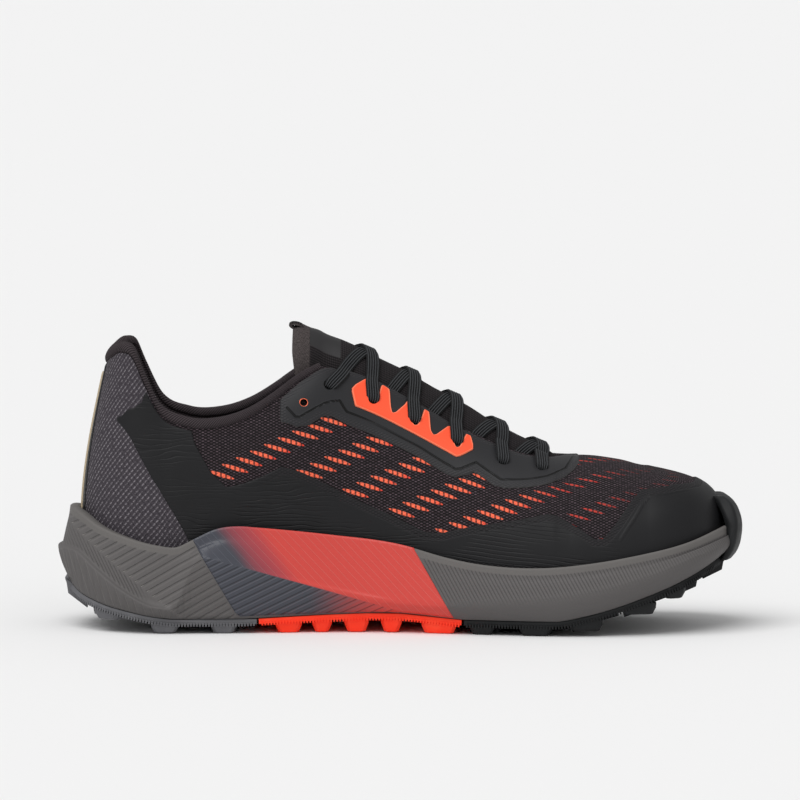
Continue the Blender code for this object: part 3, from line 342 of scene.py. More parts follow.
# The bright film at the eyelets: round notches for the laces with sharp ones between them.
GUIDE_EDGE = Table(
    "way low high",
    [
        (0.4285, 0.925, 0.935), (0.4340, 0.849, 0.962), (0.4480, 0.845, 1.006), (0.4525, 0.843, 1.016),
        (0.4540, 0.842, 0.985), (0.4555, 0.842, 0.930), (0.4580, 0.841, 0.899), (0.4620, 0.840, 0.900),
        (0.4670, 0.838, 0.940), (0.4715, 0.837, 1.006), (0.4740, 0.836, 1.014), (0.4835, 0.833, 1.006),
        (0.4850, 0.833, 0.920), (0.4880, 0.832, 0.887), (0.4930, 0.830, 0.900), (0.5060, 0.826, 0.966),
        (0.5105, 0.824, 1.000), (0.5130, 0.823, 0.930), (0.5165, 0.821, 0.884), (0.5205, 0.820, 0.873),
        (0.5250, 0.818, 0.886), (0.5310, 0.816, 0.950), (0.5340, 0.815, 0.992), (0.5410, 0.812, 0.990),
        (0.5430, 0.811, 0.890), (0.5475, 0.809, 0.868), (0.5520, 0.807, 0.880), (0.5680, 0.799, 0.960),
        (0.5735, 0.795, 0.972), (0.5755, 0.793, 0.915), (0.5785, 0.791, 0.864), (0.5815, 0.791, 0.853),
        (0.5860, 0.803, 0.868), (0.5910, 0.822, 0.925), (0.5950, 0.838, 0.966), (0.6015, 0.866, 0.966),
        (0.6060, 0.885, 0.900),
    ],
)

# How much higher the tongue's middle stands than its solid, in millimetres.
TONGUE_LIFT = Table(
    "way lift",
    [
        (0.330, 0.0), (0.400, 0.2), (0.430, 1.2), (0.460, 2.2), (0.490, 2.6), (0.520, 2.8), (0.550, 2.6),
        (0.580, 3.0), (0.610, 3.8), (0.640, 3.5), (0.670, 3.5), (0.700, 3.6), (0.735, 2.2), (0.760, 0.5),
    ],
)

# The blocks under the edge of each plate: rear and front end along the shoe and depth inwards, in millimetres.
# Those of the outer side stand further forward by the shift.
LUG_SHIFT = 4.0
EDGE_LUGS = {
    "outsole_heel": [(-135.5, -122.0, 10), (-108.5, -96.0, 11), (-82.5, -71.0, 11)],
    "outsole_arch": [
        (-54.5, -42.5, 10), (-38.5, -29.5, 8), (-24.5, -13.5, 10), (-8.5, 1.0, 8), (9.0, 25.0, 10),
    ],
    "outsole_forefoot": [
        (30.0, 41.5, 10), (51.5, 66.0, 11), (73.0, 88.0, 11), (95.5, 111.5, 11), (114.5, 125.5, 10),
    ],
}

# How a block narrows: share of its depth, and how far its sides and its back have drawn in, in millimetres.
LUG_TAPER = [(0.0, 0.0, 0.0), (0.45, 0.2, 0.15), (0.86, 1.3, 0.8), (0.95, 1.5, 1.0), (1.0, 1.9, 1.5)]

# The toe tab's face: height, and distance from the toe's centre, in millimetres.
TAB = [
    (30.3, 37.0), (32.5, 39.2), (36.8, 40.9), (43.4, 41.8), (47.7, 41.4), (52.9, 39.6), (56.4, 37.0),
    (57.7, 34.4),
]

EYESTAY_EDGE = Table(
    "way low high",
    [
        (0.3240, 0.950, 0.985), (0.3270, 0.880, 0.988), (0.3440, 0.812, 0.988), (0.3490, 0.785, 0.988),
        (0.3640, 0.762, 0.988), (0.3700, 0.757, 0.988), (0.3880, 0.775, 0.988), (0.4020, 0.772, 1.010),
        (0.4240, 0.742, 1.030), (0.4700, 0.722, 1.030), (0.5280, 0.695, 1.015), (0.5680, 0.654, 1.000),
        (0.5800, 0.658, 0.995), (0.6000, 0.709, 0.990), (0.6060, 0.736, 0.988),
        (0.6140, 0.731, 0.988), (0.6360, 0.690, 0.988), (0.6520, 0.696, 0.988), (0.6660, 0.721, 0.988),
        (0.7160, 0.801, 0.992), (0.7400, 0.850, 1.000), (0.7540, 0.912, 1.000), (0.7610, 0.960, 1.000),
    ],
)

# The groove along the dark film, and the raised line inside the toe film's edge: way and share of the height.
GROOVE = [
    (0.336, 0.940), (0.348, 0.850), (0.354, 0.832), (0.383, 0.836), (0.412, 0.861), (0.416, 0.838),
    (0.422, 0.810), (0.528, 0.760), (0.580, 0.711), (0.588, 0.728), (0.610, 0.808), (0.646, 0.749),
    (0.656, 0.766),
    (0.714, 0.856), (0.740, 0.910), (0.752, 0.990),
]
TOE_LINE = [(0.985, 0.775), (0.940, 0.765), (0.862, 0.746), (0.850, 0.659), (0.838, 0.522), (0.818, 0.326)]


def past(x, start, span):
    """How far x is past a start, as a share of a span, held from 0 to 1. A negative span falls."""
    return np.clip((x - start) / span, 0, 1)


def half_width(way):
    """Half of the local width, from the heel's to the ball's."""
    t = past(np.abs(way), 0.3, 0.3)
    return (HEEL_WIDTH + (BALL_WIDTH - HEEL_WIDTH) * t * t * (3 - 2 * t)) / 2


def column(w, name):
    """A column of PLAN that has an inner and an outer side, in metres."""
    way = np.abs(w)
    chosen = np.where(w < 0, PLAN(name + "_inner", way), PLAN(name + "_outer", way))
    return chosen * half_width(way)


HEEL_CENTRE = -LENGTH / 2 + float(column(np.array(0.0), "sole"))
TOE_CENTRE = LENGTH / 2 - float(column(np.array(1.0), "sole")) - BUMPER_GAP - BUMPER


def spine(w):
    way = np.clip(np.abs(w), HEEL_FAN, TOE_FAN)
    x = HEEL_CENTRE + (TOE_CENTRE - HEEL_CENTRE) * (way - HEEL_FAN) / (TOE_FAN - HEEL_FAN)
    return x, PLAN("bend", way) * half_width(way) + SPINE_SHIFT * BALL_WIDTH


def ray(w):
    """Unit vector of the ray in plan."""
    way = np.abs(w)
    heel = np.pi / 2 * (1 - past(way, 0, HEEL_FAN))
    toe = np.pi / 2 * past(way, TOE_FAN, 1 - TOE_FAN)
    return np.sin(toe) - np.sin(heel), np.where(w < 0, -1.0, 1.0) * np.cos(heel) * np.cos(toe)


def outward(w):
    """The ray's unit vector in space."""
    dx, dy = ray(w)
    return np.stack([dx, dy, 0 * dx], axis=-1)


def on_ray(w, radius, z):
    x, y = spine(w)
    dx, dy = ray(w)
    radius = np.asarray(radius)
    return np.stack(np.broadcast_arrays(x + radius * dx, y + radius * dy, z), axis=-1)


def level(name, x, w=None):
    """A height of the sole at this x, on the side of w where the column has two sides."""
    share = np.asarray(x) / LENGTH + 0.5
    if w is None:
        return LEVELS(name, share) * STACK_HEIGHT
    return np.where(w < 0, LEVELS(name + "_inner", share), LEVELS(name + "_outer", share)) * STACK_HEIGHT


def foam_bottom(x):
    return level("ground", x) + LUG_DEPTH + PLATE + GAP


def edge_radius(w):
    """Half width of the opening: the collar, then the throat with its round front, then closed."""
    t = past(np.abs(w), THROAT_FRONT, -THROAT_ROUNDING)
    return column(w, "edge") * np.sqrt(1 - (1 - t) ** 2)


def wall_curve(w, t):
    """Radius and height on the upper's outer face: a cubic curve from the foot to the top edge."""
    way = np.abs(w)
    foot, edge = column(w, "foot"), edge_radius(w)
    low = level("floor", on_ray(w, foot, 0)[..., 0]) + GAP
    top = WALLS("top", way)
    lean = np.radians(WALLS("lean", way))
    reach = WALLS("reach", way) * foot
    radii = (foot, foot * (1 + WALLS("bulge", way)), edge + reach * np.cos(lean), edge)
    heights = (low, low + WALLS("rise", way) * (top - low), top - reach * np.sin(lean), top)
    shares = ((1 - t) ** 3, 3 * t * (1 - t) ** 2, 3 * t * t * (1 - t), t**3)
    return sum(r * s for r, s in zip(radii, shares)), sum(h * s for h, s in zip(heights, shares))


def wrapped(w):
    """w carried on past the back of the heel or the tip of the toe."""
    return np.where(w > 1, w - 2, np.where(w < -1, w + 2, w))


def sharp_skin(w, t):
    radius, z = wall_curve(w, t)
    return on_ray(w, radius, z)


def skin(w, t):
    """The upper's outer face, its bend softened where the throat closes in front."""
    spread = BEND_SPREAD * np.clip(1 - np.abs(np.abs(w) - THROAT_FRONT) / BEND_REACH, 0, 1)
    return sum(sharp_skin(wrapped(w + spread * k), t) for k in (-1, -0.5, 0, 0.5, 1)) / 5


def skin_normal(w, t):
    """Unit normal of the upper's outer face, the same from both sides where they meet."""
    w, t = np.broadcast_arrays(np.asarray(w, float), np.asarray(t, float))
    closed = (edge_radius(w) < 1e-6) & (t > 0.999)
    w = np.where(closed & (np.abs(w) > TOE_FAN), TOE_FAN, w)
    t = np.clip(t, 0, 0.995)

    def raw(w):
        along = skin(wrapped(w + 0.002), t) - skin(wrapped(w - 0.002), t)
        up = skin(w, np.minimum(t + 0.004, 1)) - skin(w, np.maximum(t - 0.004, 0))
        found = np.cross(up, along)
        return found / np.linalg.norm(found, axis=-1, keepdims=True)

    normal = raw(w)
    both = normal + raw(-w)
    both[..., 1] = 0
    both /= np.linalg.norm(both, axis=-1, keepdims=True)
    return np.where(closed[..., None], both, normal)


def skin_at(w, t, offset=0.0):
    return skin(w, t) + np.asarray(offset)[..., None] * skin_normal(w, t)


def sole_radius(w):
    return column(w, "sole")


def tray_radius(w):
    """The tray's inner wall stands clear of the upper and its films."""
    t = np.linspace(0, 0.45, 10)
    widest = np.max(np.stack([wall_curve(w, share)[0] for share in t]), axis=0)
    return widest + FILM_GAP + FILM + RIM_GAP


def parting_radius(w):
    """Radius of the foam's lower edge."""
    return sole_radius(w) - SOLE_TUCK * half_width(w)


def sole_side(w, row):
    """One row of the foam's side. Rows run from the parting line up over the rim to the tray."""
    reach = sole_radius(w)
    way = np.abs(w)
    inset = PLAN("rim_inset", way) * half_width(w)
    edge_x = on_ray(w, parting_radius(w), 0)[..., 0]
    bottom = foam_bottom(edge_x)
    x = on_ray(w, reach, 0)[..., 0]
    crease = np.maximum(level("crease", x, w), bottom + CREASE_ROOM[0])
    rim = level("rim", on_ray(w, reach - inset, 0)[..., 0], w)
    crease = np.minimum(crease, rim - CREASE_ROOM[1])
    step = HEEL_STEP * past(way, STEP_END, -STEP_FADE)
    plain_part = past(way, 0.15, 0.02) * past(way, 0.25, -0.03)
    ledge = LEDGE * (1 - plain_part) * past(way, 0.5, -0.07)
    rows = {
        "parting": (SOLE_TUCK * half_width(w), bottom),
        "lower": (0.030 * half_width(w), bottom + 0.45 * (crease - bottom)),
        "crease": (0.0 * w, crease),
        "ledge": (ledge + step, crease + LEDGE_RISE),
        "middle": (ledge + 0.5 * step + 0.5 * inset, crease + 0.5 * (rim - crease)),
        "band": (inset - RIM_ROUND, rim - RIM_BAND),
        "rim": (inset + RIM_ROUND / 2, rim),
    }
    depth, z = rows[row]
    return on_ray(w, reach - depth, z)


def disc_rows(w, radius, shares, height):
    """Points from the edge of a flat-lying sheet to its spine, at the height of their own x."""
    rows = []
    for share in shares:
        flat = on_ray(w, radius * share, 0)
        flat[..., 2] = height(flat[..., 0])
        rows.append(flat)
    return rows


SAMPLES = np.linspace(0, 1, 121)


def run_length(points, axis=0):
    """The length along each line of points, from 0 at its first."""
    steps = np.linalg.norm(np.diff(points, axis=axis), axis=-1)
    return np.concatenate([np.zeros_like(steps.take([0], axis)), np.cumsum(steps, axis)], axis)


def unit(vectors):
    return vectors / np.maximum(np.linalg.norm(vectors, axis=-1, keepdims=True), 1e-9)


def profiles(run):
    """For each ray and sample: the share of the wall's height, and the height plus the length of cloth."""
    points = skin(run[:, None], SAMPLES[None, :])
    z = points[..., 2]
    rise = np.maximum.accumulate((z - z[:, :1]) / (z[:, -1:] - z[:, :1]), axis=1)
    return rise, run_length(points, 1) + z[:, :1]


def t_of_height(run, shares):
    """The curve's own parameter where each ray reaches its shares of the wall's height."""
    rise, _ = profiles(run)
    found = np.array([np.interp(share, row, SAMPLES) for share, row in zip(shares, rise)])
    return np.where(np.asarray(shares) >= 1, 1.0, found)


def t_below_edge(run, depth):
    """The curve's own parameter at a depth, measured along the wall, below its top edge."""
    _, length = profiles(run)
    return np.array([np.interp(row[-1] - d, row, SAMPLES) for d, row in zip(depth, length)])


def creases(u, v):
    """Soft troughs and ridges of the worn cloth: how far it stands in or out at a place on its surface."""
    moved = np.zeros(np.broadcast(u, v).shape)
    for x, height, degrees, long, wide, deep in CREASES:
        turn = math.radians(degrees)
        x, z = u * 1000 - x, v * 1000 - height
        along = x * math.cos(turn) + z * math.sin(turn)
        across = z * math.cos(turn) - x * math.sin(turn)
        moved = moved + deep * MM * np.exp(-((along / long) ** 2) - (across / wide) ** 2)
    return moved


def on_wall(run, shares, offset):
    """Points at shares of the wall's height, stood off its face, and their places on the cloth.
    Shares over 1 carry on straight up past the wall's top edge."""
    _, length = profiles(run)
    t = t_of_height(run, shares)
    v = np.array([np.interp(a, SAMPLES, row) for a, row in zip(t, length)])
    more = np.clip(np.asarray(shares) - 1, 0, 1) * (length[:, -1:] - length[:, :1])
    u = np.broadcast_to((np.abs(run)[:, None] - 0.5) * LENGTH, v.shape)
    points = skin_at(run[:, None], t, offset + creases(u, v)) + more[..., None] * edge_up(run)[:, None]
    return points, np.stack([u, v + more], axis=-1)


def edge_up(run):
    """The way that the cloth points at the wall's top edge."""
    return unit(skin(run, np.ones(run.shape)) - skin(run, np.full(run.shape, EDGE_SAMPLE)))


def collar_lift(way):
    """How far the cloth carries on above the wall's edge, up to the collar's roll."""
    return COLLAR_LIFT * past(way, COLLAR_FRONT, -COLLAR_FADE)


def bridge(way, offset, arch, reach, share):
    """Points over the throat: share runs from -1 at the inner edge to 1 at the outer one."""
    way, offset, arch, reach, share = np.broadcast_arrays(way, offset, arch, reach, share)
    ends = []
    for side in (-1.0, 1.0):
        w = side * way
        span = edge_radius(w)
        rise = np.stack([0 * w, -side * reach * span, arch * span], axis=-1)
        ends.append((skin_at(w, np.ones(w.shape), offset), rise))
    (a, rise_a), (b, rise_b) = ends
    t = (share[:, None] + 1) / 2
    near, far = (1 - t) ** 3 * a + 3 * t * (1 - t) ** 2 * (a + rise_a), t**3 * b
    return near + 3 * t * t * (1 - t) * (b + rise_b) + far


def placed(name, data):
    """An object of this data in the scene."""
    made = bpy.data.objects.new(name, data)
    bpy.context.scene.collection.objects.link(made)
    return made


def mesh_object(name, points, faces, places=None, marks=None):
    """A mesh with its doubles merged; places and marks are kept in its two UV maps."""
    mesh = bpy.data.meshes.new(name)
    mesh.from_pydata(np.asarray(points, float).reshape(-1, 3).tolist(), [], faces)
    index = np.empty(len(mesh.loops), np.int32)
    mesh.loops.foreach_get("vertex_index", index)
    for label, values in (("cloth", places), ("marks", marks)):
        if values is not None:
            layer = mesh.uv_layers.new(name=label)
            layer.data.foreach_set("uv", np.asarray(values, float).reshape(-1, 2)[index].ravel())
    work = bmesh.new()
    work.from_mesh(mesh)
    bmesh.ops.remove_doubles(work, verts=work.verts, dist=2e-6)
    bmesh.ops.dissolve_degenerate(work, edges=work.edges, dist=1e-6)
    work.to_mesh(mesh)
    work.free()
    mesh.shade_smooth()
    return placed(name, mesh)


def smoothed(line, times):
    """Points each moved halfway to the middle of their neighbours, the two ends held."""
    for _ in range(times):
        line[1:-1] = 0.25 * line[:-2] + 0.5 * line[1:-1] + 0.25 * line[2:]
    return line


def turn_out(made):
    """Faces of a closed body turned outwards."""
    work = bmesh.new()
    work.from_mesh(made.data)
    bmesh.ops.recalc_face_normals(work, faces=work.faces)
    work.to_mesh(made.data)
    work.free()
    return made


def grid_faces(count, rows):
    """Quads of rows of points that go once round the shoe, facing away from its middle."""
    ahead = [(i * rows, (i + 1) % count * rows) for i in range(count)]
    return [(a + k, a + k + 1, b + k + 1, b + k) for a, b in ahead for k in range(rows - 1)]


def loft_faces(count, size, round_trip=False, start=0):
    """Quads between closed rings of points, with a cap on each end unless they go round."""
    last = count if round_trip else count - 1
    rings = [(start + i * size, start + (i + 1) % count * size) for i in range(last)]
    faces = [(a + k, a + (k + 1) % size, b + (k + 1) % size, b + k) for a, b in rings for k in range(size)]
    if not round_trip:
        faces.append(tuple(start + k for k in range(size - 1, -1, -1)))
        faces.append(tuple(start + (count - 1) * size + k for k in range(size)))
    return faces


def rounded(rings, count):
    """Closed rings of few points drawn as smooth rings of many."""
    size = rings.shape[1]
    at = np.arange(count) * size / count
    i = at.astype(int)
    t = (at - i)[None, :, None]
    p = [rings[:, (i + k) % size] for k in (-1, 0, 1, 2)]
    bend = 2 * p[0] - 5 * p[1] + 4 * p[2] - p[3]
    last = 3 * p[1] - p[0] - 3 * p[2] + p[3]
    return p[1] + 0.5 * t * (p[2] - p[0] + t * (bend + t * last))


def plain(made):
    """The piece with its modifiers worked out and taken off."""
    graph = bpy.context.evaluated_depsgraph_get()
    mesh = bpy.data.meshes.new_from_object(made.evaluated_get(graph), depsgraph=graph)
    made.modifiers.clear()
    made.data = mesh
    return made


def pierced(made, holes):
    """The piece with the eyelets cut through it."""
    cut = made.modifiers.new("Eyelets", "BOOLEAN")
    cut.operation = "DIFFERENCE"
    cut.solver = "EXACT"
    cut.object = holes
    plain(made)
    made.data.shade_smooth()


def add_node(tree, kind, settings=(), inputs=()):
    """A node with its settings, then the values or links of its sockets."""
    made = tree.nodes.new(kind)
    for name, value in dict(settings).items():
        setattr(made, name, value)
    for name, value in dict(inputs).items():
        if isinstance(value, bpy.types.NodeSocket):
            tree.links.new(value, made.inputs[name])
        else:
            made.inputs[name].default_value = value
    return made


def row_tree(paint):
    """A tree that sets small blocks along a line, at an even pitch, and gives them one finish."""
    tree = bpy.data.node_groups.new("row_of_ribs", "GeometryNodeTree")
    tree.interface.new_socket("Geometry", in_out="INPUT", socket_type="NodeSocketGeometry")
    for name in TOOTH:
        tree.interface.new_socket(name, in_out="INPUT", socket_type="NodeSocketFloat")
    tree.interface.new_socket("Geometry", in_out="OUTPUT", socket_type="NodeSocketGeometry")

    def add(kind, settings=(), **inputs):
        return add_node(tree, kind, settings, inputs)

    given = add("NodeGroupInput").outputs
    line = add("GeometryNodeMeshToCurve", Mesh=given["Geometry"])
    lengths = {"mode": "LENGTH"}
    spots = add("GeometryNodeCurveToPoints", lengths, Curve=line.outputs["Curve"], Length=given["Pitch"])
    turn = add("FunctionNodeAlignRotationToVector", {"axis": "X"}, Vector=spots.outputs["Tangent"])
    size = add("ShaderNodeCombineXYZ", X=given["Length"], Y=given["Depth"], Z=given["Height"])
    block = add("GeometryNodeMeshCube", Size=size.outputs["Vector"])
    row = add("GeometryNodeInstanceOnPoints", Points=spots.outputs["Points"], Instance=block.outputs["Mesh"],
              Rotation=turn.outputs["Rotation"])
    solid = add("GeometryNodeRealizeInstances", Geometry=row.outputs["Instances"])
    done = add("GeometryNodeSetMaterial", Geometry=solid.outputs["Geometry"], Material=paint)
    tree.links.new(done.outputs["Geometry"], add("NodeGroupOutput").inputs["Geometry"])
    return tree


def dress(piece, nodes, slot, *paints):
    """A piece's finishes, its place in the frame and the solids that it stands for."""
    piece.data.materials.clear()
    for paint in paints:
        piece.data.materials.append(paint)
    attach(piece, "root")
    if nodes:
        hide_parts(*nodes)


def edge_line(table, column_name, soft=0.0011):
    """An edge of a film, its corners rounded a little."""
    def read(way):
        return np.mean([table.straight(column_name, way + d) for d in np.linspace(-soft, soft, 7)], axis=0)
    return read


def distance_to(places, line):
    """How far each place on the cloth is from a line drawn on it."""
    places = np.asarray(places).reshape(-1, 2)
    a, b = line[:-1], line[1:]
    step = b - a
    square = np.maximum((step**2).sum(axis=1), 1e-12)
    best = np.full(len(places), 1e3)
    for first in range(0, len(places), 4000):
        part = places[first : first + 4000]
        t = np.clip(((part[:, None] - a) * step).sum(axis=-1) / square, 0, 1)
        gap = part[:, None] - (a + t[..., None] * step)
        best[first : first + 4000] = np.sqrt((gap**2).sum(axis=-1)).min(axis=1)
    return best


def film(name, runs, low, high, proud, sunk=0.25 * MM, rows=20, groove=None, roll=0.7 * MM):
    """A thin film on the wall: its face stands proud with rolled edges and its back is sunk in the cloth.
    Its marks are the distances from its own edge and from its groove."""
    points, places, marks, faces = [], [], [], []
    for run in runs:
        way = np.abs(run)
        bottom, top = low(way), high(way)
        _, length = profiles(run)
        tall = length[:, -1] - length[:, 0]
        inset = np.minimum(roll / tall, 0.45 * np.maximum(top - bottom, 0))
        span = np.linspace(0, 1, rows)
        inner = (bottom + inset)[:, None] + span[None, :] * (top - bottom - 2 * inset)[:, None]
        face = [bottom, bottom + 0.12 * inset, bottom + 0.45 * inset]
        heights = [-sunk, 0.45 * proud, 0.85 * proud] + [proud] * rows + [0.85 * proud, 0.45 * proud, -sunk]
        after = [top - 0.45 * inset, top - 0.12 * inset, top]
        front = np.concatenate([np.stack(face, 1), inner, np.stack(after, 1)], axis=1)
        back = inner[:, ::-3]
        shares = np.concatenate([front, back], axis=1)
        offset = np.array(heights + [-sunk] * back.shape[1])[None, :] * np.ones((len(run), 1))
        for end, beside in ((0, 1), (-1, -2)):
            offset[end] = np.minimum(offset[end], -sunk)
            offset[beside] = np.where(offset[beside] > 0, 0.7 * offset[beside], offset[beside])
        more, where = on_wall(run, shares, offset)
        size = shares.shape[1]
        rim = np.concatenate([where[:, 0], where[::-1, len(heights) - 1], where[:1, 0]])
        edge = distance_to(where, rim)
        line = distance_to(where, groove) if groove is not None else np.full(len(edge), 1.0)
        faces += loft_faces(len(run), size, start=sum(len(p) for p in points))
        points.append(more.reshape(-1, 3))
        places.append(where.reshape(-1, 2))
        marks.append(np.stack([edge, line], axis=-1))
    made = mesh_object(name, np.concatenate(points), faces, np.concatenate(places), np.concatenate(marks))
    return turn_out(made)


def run_of(first, last, step, side):
    """Signed ways along one side, in the order that faces outwards."""
    ways = np.linspace(first, last, max(int(round((last - first) / step)), 2) + 1)
    return ways if side > 0 else -ways[::-1]


def foam_side(w, at):
    """A point of the foam's side: at runs from 0 at the parting line, over 2 at the crease and 3 at the ledge
    above it, to 6 at the rim."""
    w, at = np.broadcast_arrays(np.asarray(w, float), np.asarray(at, float))
    names = ("parting", "lower", "crease", "ledge", "middle", "band", "rim")
    stack = np.stack([sole_side(w, name) for name in names])
    i = np.clip(at.astype(int), 0, 5)
    t = (at - i)[..., None]

    def pick(k):
        return np.take_along_axis(stack, np.clip(k, 0, 6)[None, ..., None], axis=0)[0]

    a, b = pick(i), pick(i + 1)
    step = b - a
    upright = step * np.array([0.0, 0.0, 1.0])
    at_a, at_b = i[..., None], i[..., None] + 1
    slope_a = np.where(np.isin(at_a, (0, 3)), step, (b - pick(i - 1)) / 2)
    slope_a = np.where(at_a == 2, 1.6 * upright, slope_a)
    slope_b = np.where(at_b == 6, step, (pick(i + 2) - a) / 2)
    slope_b = np.where(at_b == 2, upright, np.where(at_b == 3, 1.6 * (step - upright), slope_b))
    low = (1 + 2 * t) * (1 - t) ** 2 * a + t * (1 - t) ** 2 * slope_a
    return low + t * t * (3 - 2 * t) * b - t * t * (1 - t) * slope_b


class Value:
    """A number on a socket: each operator adds its Math node."""

    def __init__(self, paint, socket):
        self.paint = paint
        self.socket = socket

    def maths(self, operation, *values):
        inputs = {0: self}
        inputs.update({i + 1: value for i, value in enumerate(values)})
        return self.paint.node("ShaderNodeMath", {"operation": operation}, inputs)

    def __add__(self, other):
        return self.maths("ADD", other)

    def __sub__(self, other):
        return self.maths("SUBTRACT", other)

    def __mul__(self, other):
        return self.maths("MULTIPLY", other)

    def __truediv__(self, other):
        return self.maths("DIVIDE", other)

    def __rsub__(self, other):
        return (self * -1) + other

    __radd__ = __add__
    __rmul__ = __mul__

    def above(self, other):
        return self.maths("GREATER_THAN", other)

    def least(self, other):
        return self.maths("MAXIMUM", other)

    def size(self):
        return self.maths("ABSOLUTE")

    def nearest(self):
        return self.maths("ROUND")

    def part(self):
        return self.maths("FRACT")

    def cell(self, pitch):
        """From -0.5 to 0.5 across each pitch."""
        return (self / pitch).part() - 0.5

    def wave(self, pitch):
        """From -1 to 1 and back once each pitch."""
        return (self * (2 * math.pi / pitch)).maths("SINE")

    def ramp(self, low, high):
        """From 0 at low to 1 at high, held between them; low may be the larger."""
        inputs = {"Value": self, "From Min": low, "From Max": high}
        return self.paint.node("ShaderNodeMapRange", {"interpolation_type": "SMOOTHSTEP"}, inputs)


class Paint:
    """A finish: a shader and the nodes that feed it. Lengths in its sums are millimetres."""

    def __init__(self, name, colour_code, roughness, **constant):
        self.material = bpy.data.materials.new(name)
        self.material.use_nodes = True
        self.tree = self.material.node_tree
        self.shader = self.tree.nodes["Principled BSDF"]
        self.shader.inputs["Base Color"].default_value = colour(colour_code)
        self.shader.inputs["Roughness"].default_value = roughness
        for name, value in constant.items():
            self.shader.inputs[name.replace("_", " ")].default_value = value
        self.material.diffuse_color = colour(colour_code)

    def node(self, kind, settings=(), inputs=(), output=0):
        inputs = {name: getattr(value, "socket", value) for name, value in dict(inputs).items()}
        return Value(self, add_node(self.tree, kind, settings, inputs).outputs[output])

    def parts(self, vector):
        """The first three parts of a place, in millimetres."""
        return tuple(self.node("ShaderNodeSeparateXYZ", (), {0: vector}, i) * 1000 for i in range(3))

    def solid_place(self):
        return self.parts(self.node("ShaderNodeTexCoord", (), (), "Object"))

    def cloth_place(self, label="cloth"):
        return self.parts(self.node("ShaderNodeUVMap", {"uv_map": label}))[:2]

    def vector(self, x, y, z=0.0):
        return self.node("ShaderNodeCombineXYZ", (), {0: x, 1: y, 2: z})

    def noise(self, place, size, detail=2.0, rough=0.5):
        """Soft noise about 0.5; size is one of its cells in millimetres."""
        inputs = {"Vector": place, "Scale": 1.0 / size, "Detail": detail, "Roughness": rough}
        return self.node("ShaderNodeTexNoise", (), inputs)

    def blend(self, share, first, second):
        """One colour going over into another."""
        inputs = {0: share}
        for index, value in ((6, first), (7, second)):
            inputs[index] = value if isinstance(value, Value) else colour(value)
        return self.node("ShaderNodeMix", {"data_type": "RGBA"}, inputs, 2)

    def finish(self, **sockets):
        """What changes over the surface: height is the relief in millimetres."""
        height = sockets.pop("height", None)
        if height is not None:
            inputs = {"Strength": 1.0, "Distance": MM, "Height": height}
            sockets["Normal"] = self.node("ShaderNodeBump", (), inputs)
        for name, value in sockets.items():
            self.tree.links.new(value.socket, self.shader.inputs[name.replace("_", " ")])
        return self.material


def colour(code):
    """A colour written as on a screen, made linear."""
    parts = [int(code[i : i + 2], 16) / 255 for i in (1, 3, 5)]
    return (*[c / 12.92 if c <= 0.04045 else ((c + 0.055) / 1.055) ** 2.4 for c in parts], 1.0)


def knit_weave(u, v):
    """Bumps of the knit in staggered cells."""
    return u.wave(KNIT_CELL * 1.9) * v.wave(KNIT_CELL)


def knit_paint():
    """Open knitted mesh: dark yarn in staggered cells, grey flecks, and slanting dashes of bright yarn."""
    paint = Paint("knitted_mesh", "#2b2426", 0.85, Specular_IOR_Level=0.25)
    u, v = paint.cloth_place()
    place = paint.vector(u, v)
    wander = paint.noise(place, 9.0) - 0.5
    weave = knit_weave(u, v + wander * 0.4)
    fine = (u + v).wave(KNIT_CELL) * (u - v).wave(KNIT_CELL)
    patchy = paint.noise(place, 1.6, 2.0)
    fleck = weave.ramp(-0.15, 0.75) * (patchy.ramp(0.35, 0.75) * 0.7 + 0.3)
    x = u - DASH_START[0] + wander * 0.5
    z = v - DASH_START[1]
    slant = math.tan(math.radians(DASH_SLANT))
    p = z + x * slant
    down = (DASH_DOWN[0], DASH_DOWN[1] + DASH_DOWN[0] * slant)
    over = (DASH_OVER[0], DASH_OVER[1] + DASH_OVER[0] * slant)
    whole = down[0] * over[1] - down[1] * over[0]
    column_number = ((p * down[0] - x * down[1]) / whole).nearest()
    p = p - column_number * over[1]
    x = x - column_number * over[0]
    row_number = (p / down[1]).nearest()
    p = p - row_number * down[1]
    x = x - row_number * down[0]
    along = x / (DASH_LENGTH / 2)
    lens = (1 - along * along).least(0.0).maths("SQRT") * DASH_HALF
    front = u.ramp(45.0, 72.0)
    inside = (lens - p.size() - front * 0.35).ramp(-0.05, 0.3) * column_number.above(-0.5)
    bead = x.wave(DASH_BEAD).size().ramp(0.2, 0.8)
    bright = inside * (bead * 0.85 + 0.15) * (1 - u.ramp(82.0, 102.0) * 0.85)
    deep = paint.blend(fleck, "#0f0a0c", "#5d4f56")
    shade = paint.blend(along.ramp(0.1, 1.0) * paint.noise(place, 5.0).ramp(0.4, 0.6), "#ff7252", "#f0483a")
    shade = paint.blend(front * 0.75, shade, "#a3202a")
    height = weave * 0.16 + fine * 0.06 + bright * 0.2
    return paint.finish(Base_Color=paint.blend(bright, deep, shade), height=height)


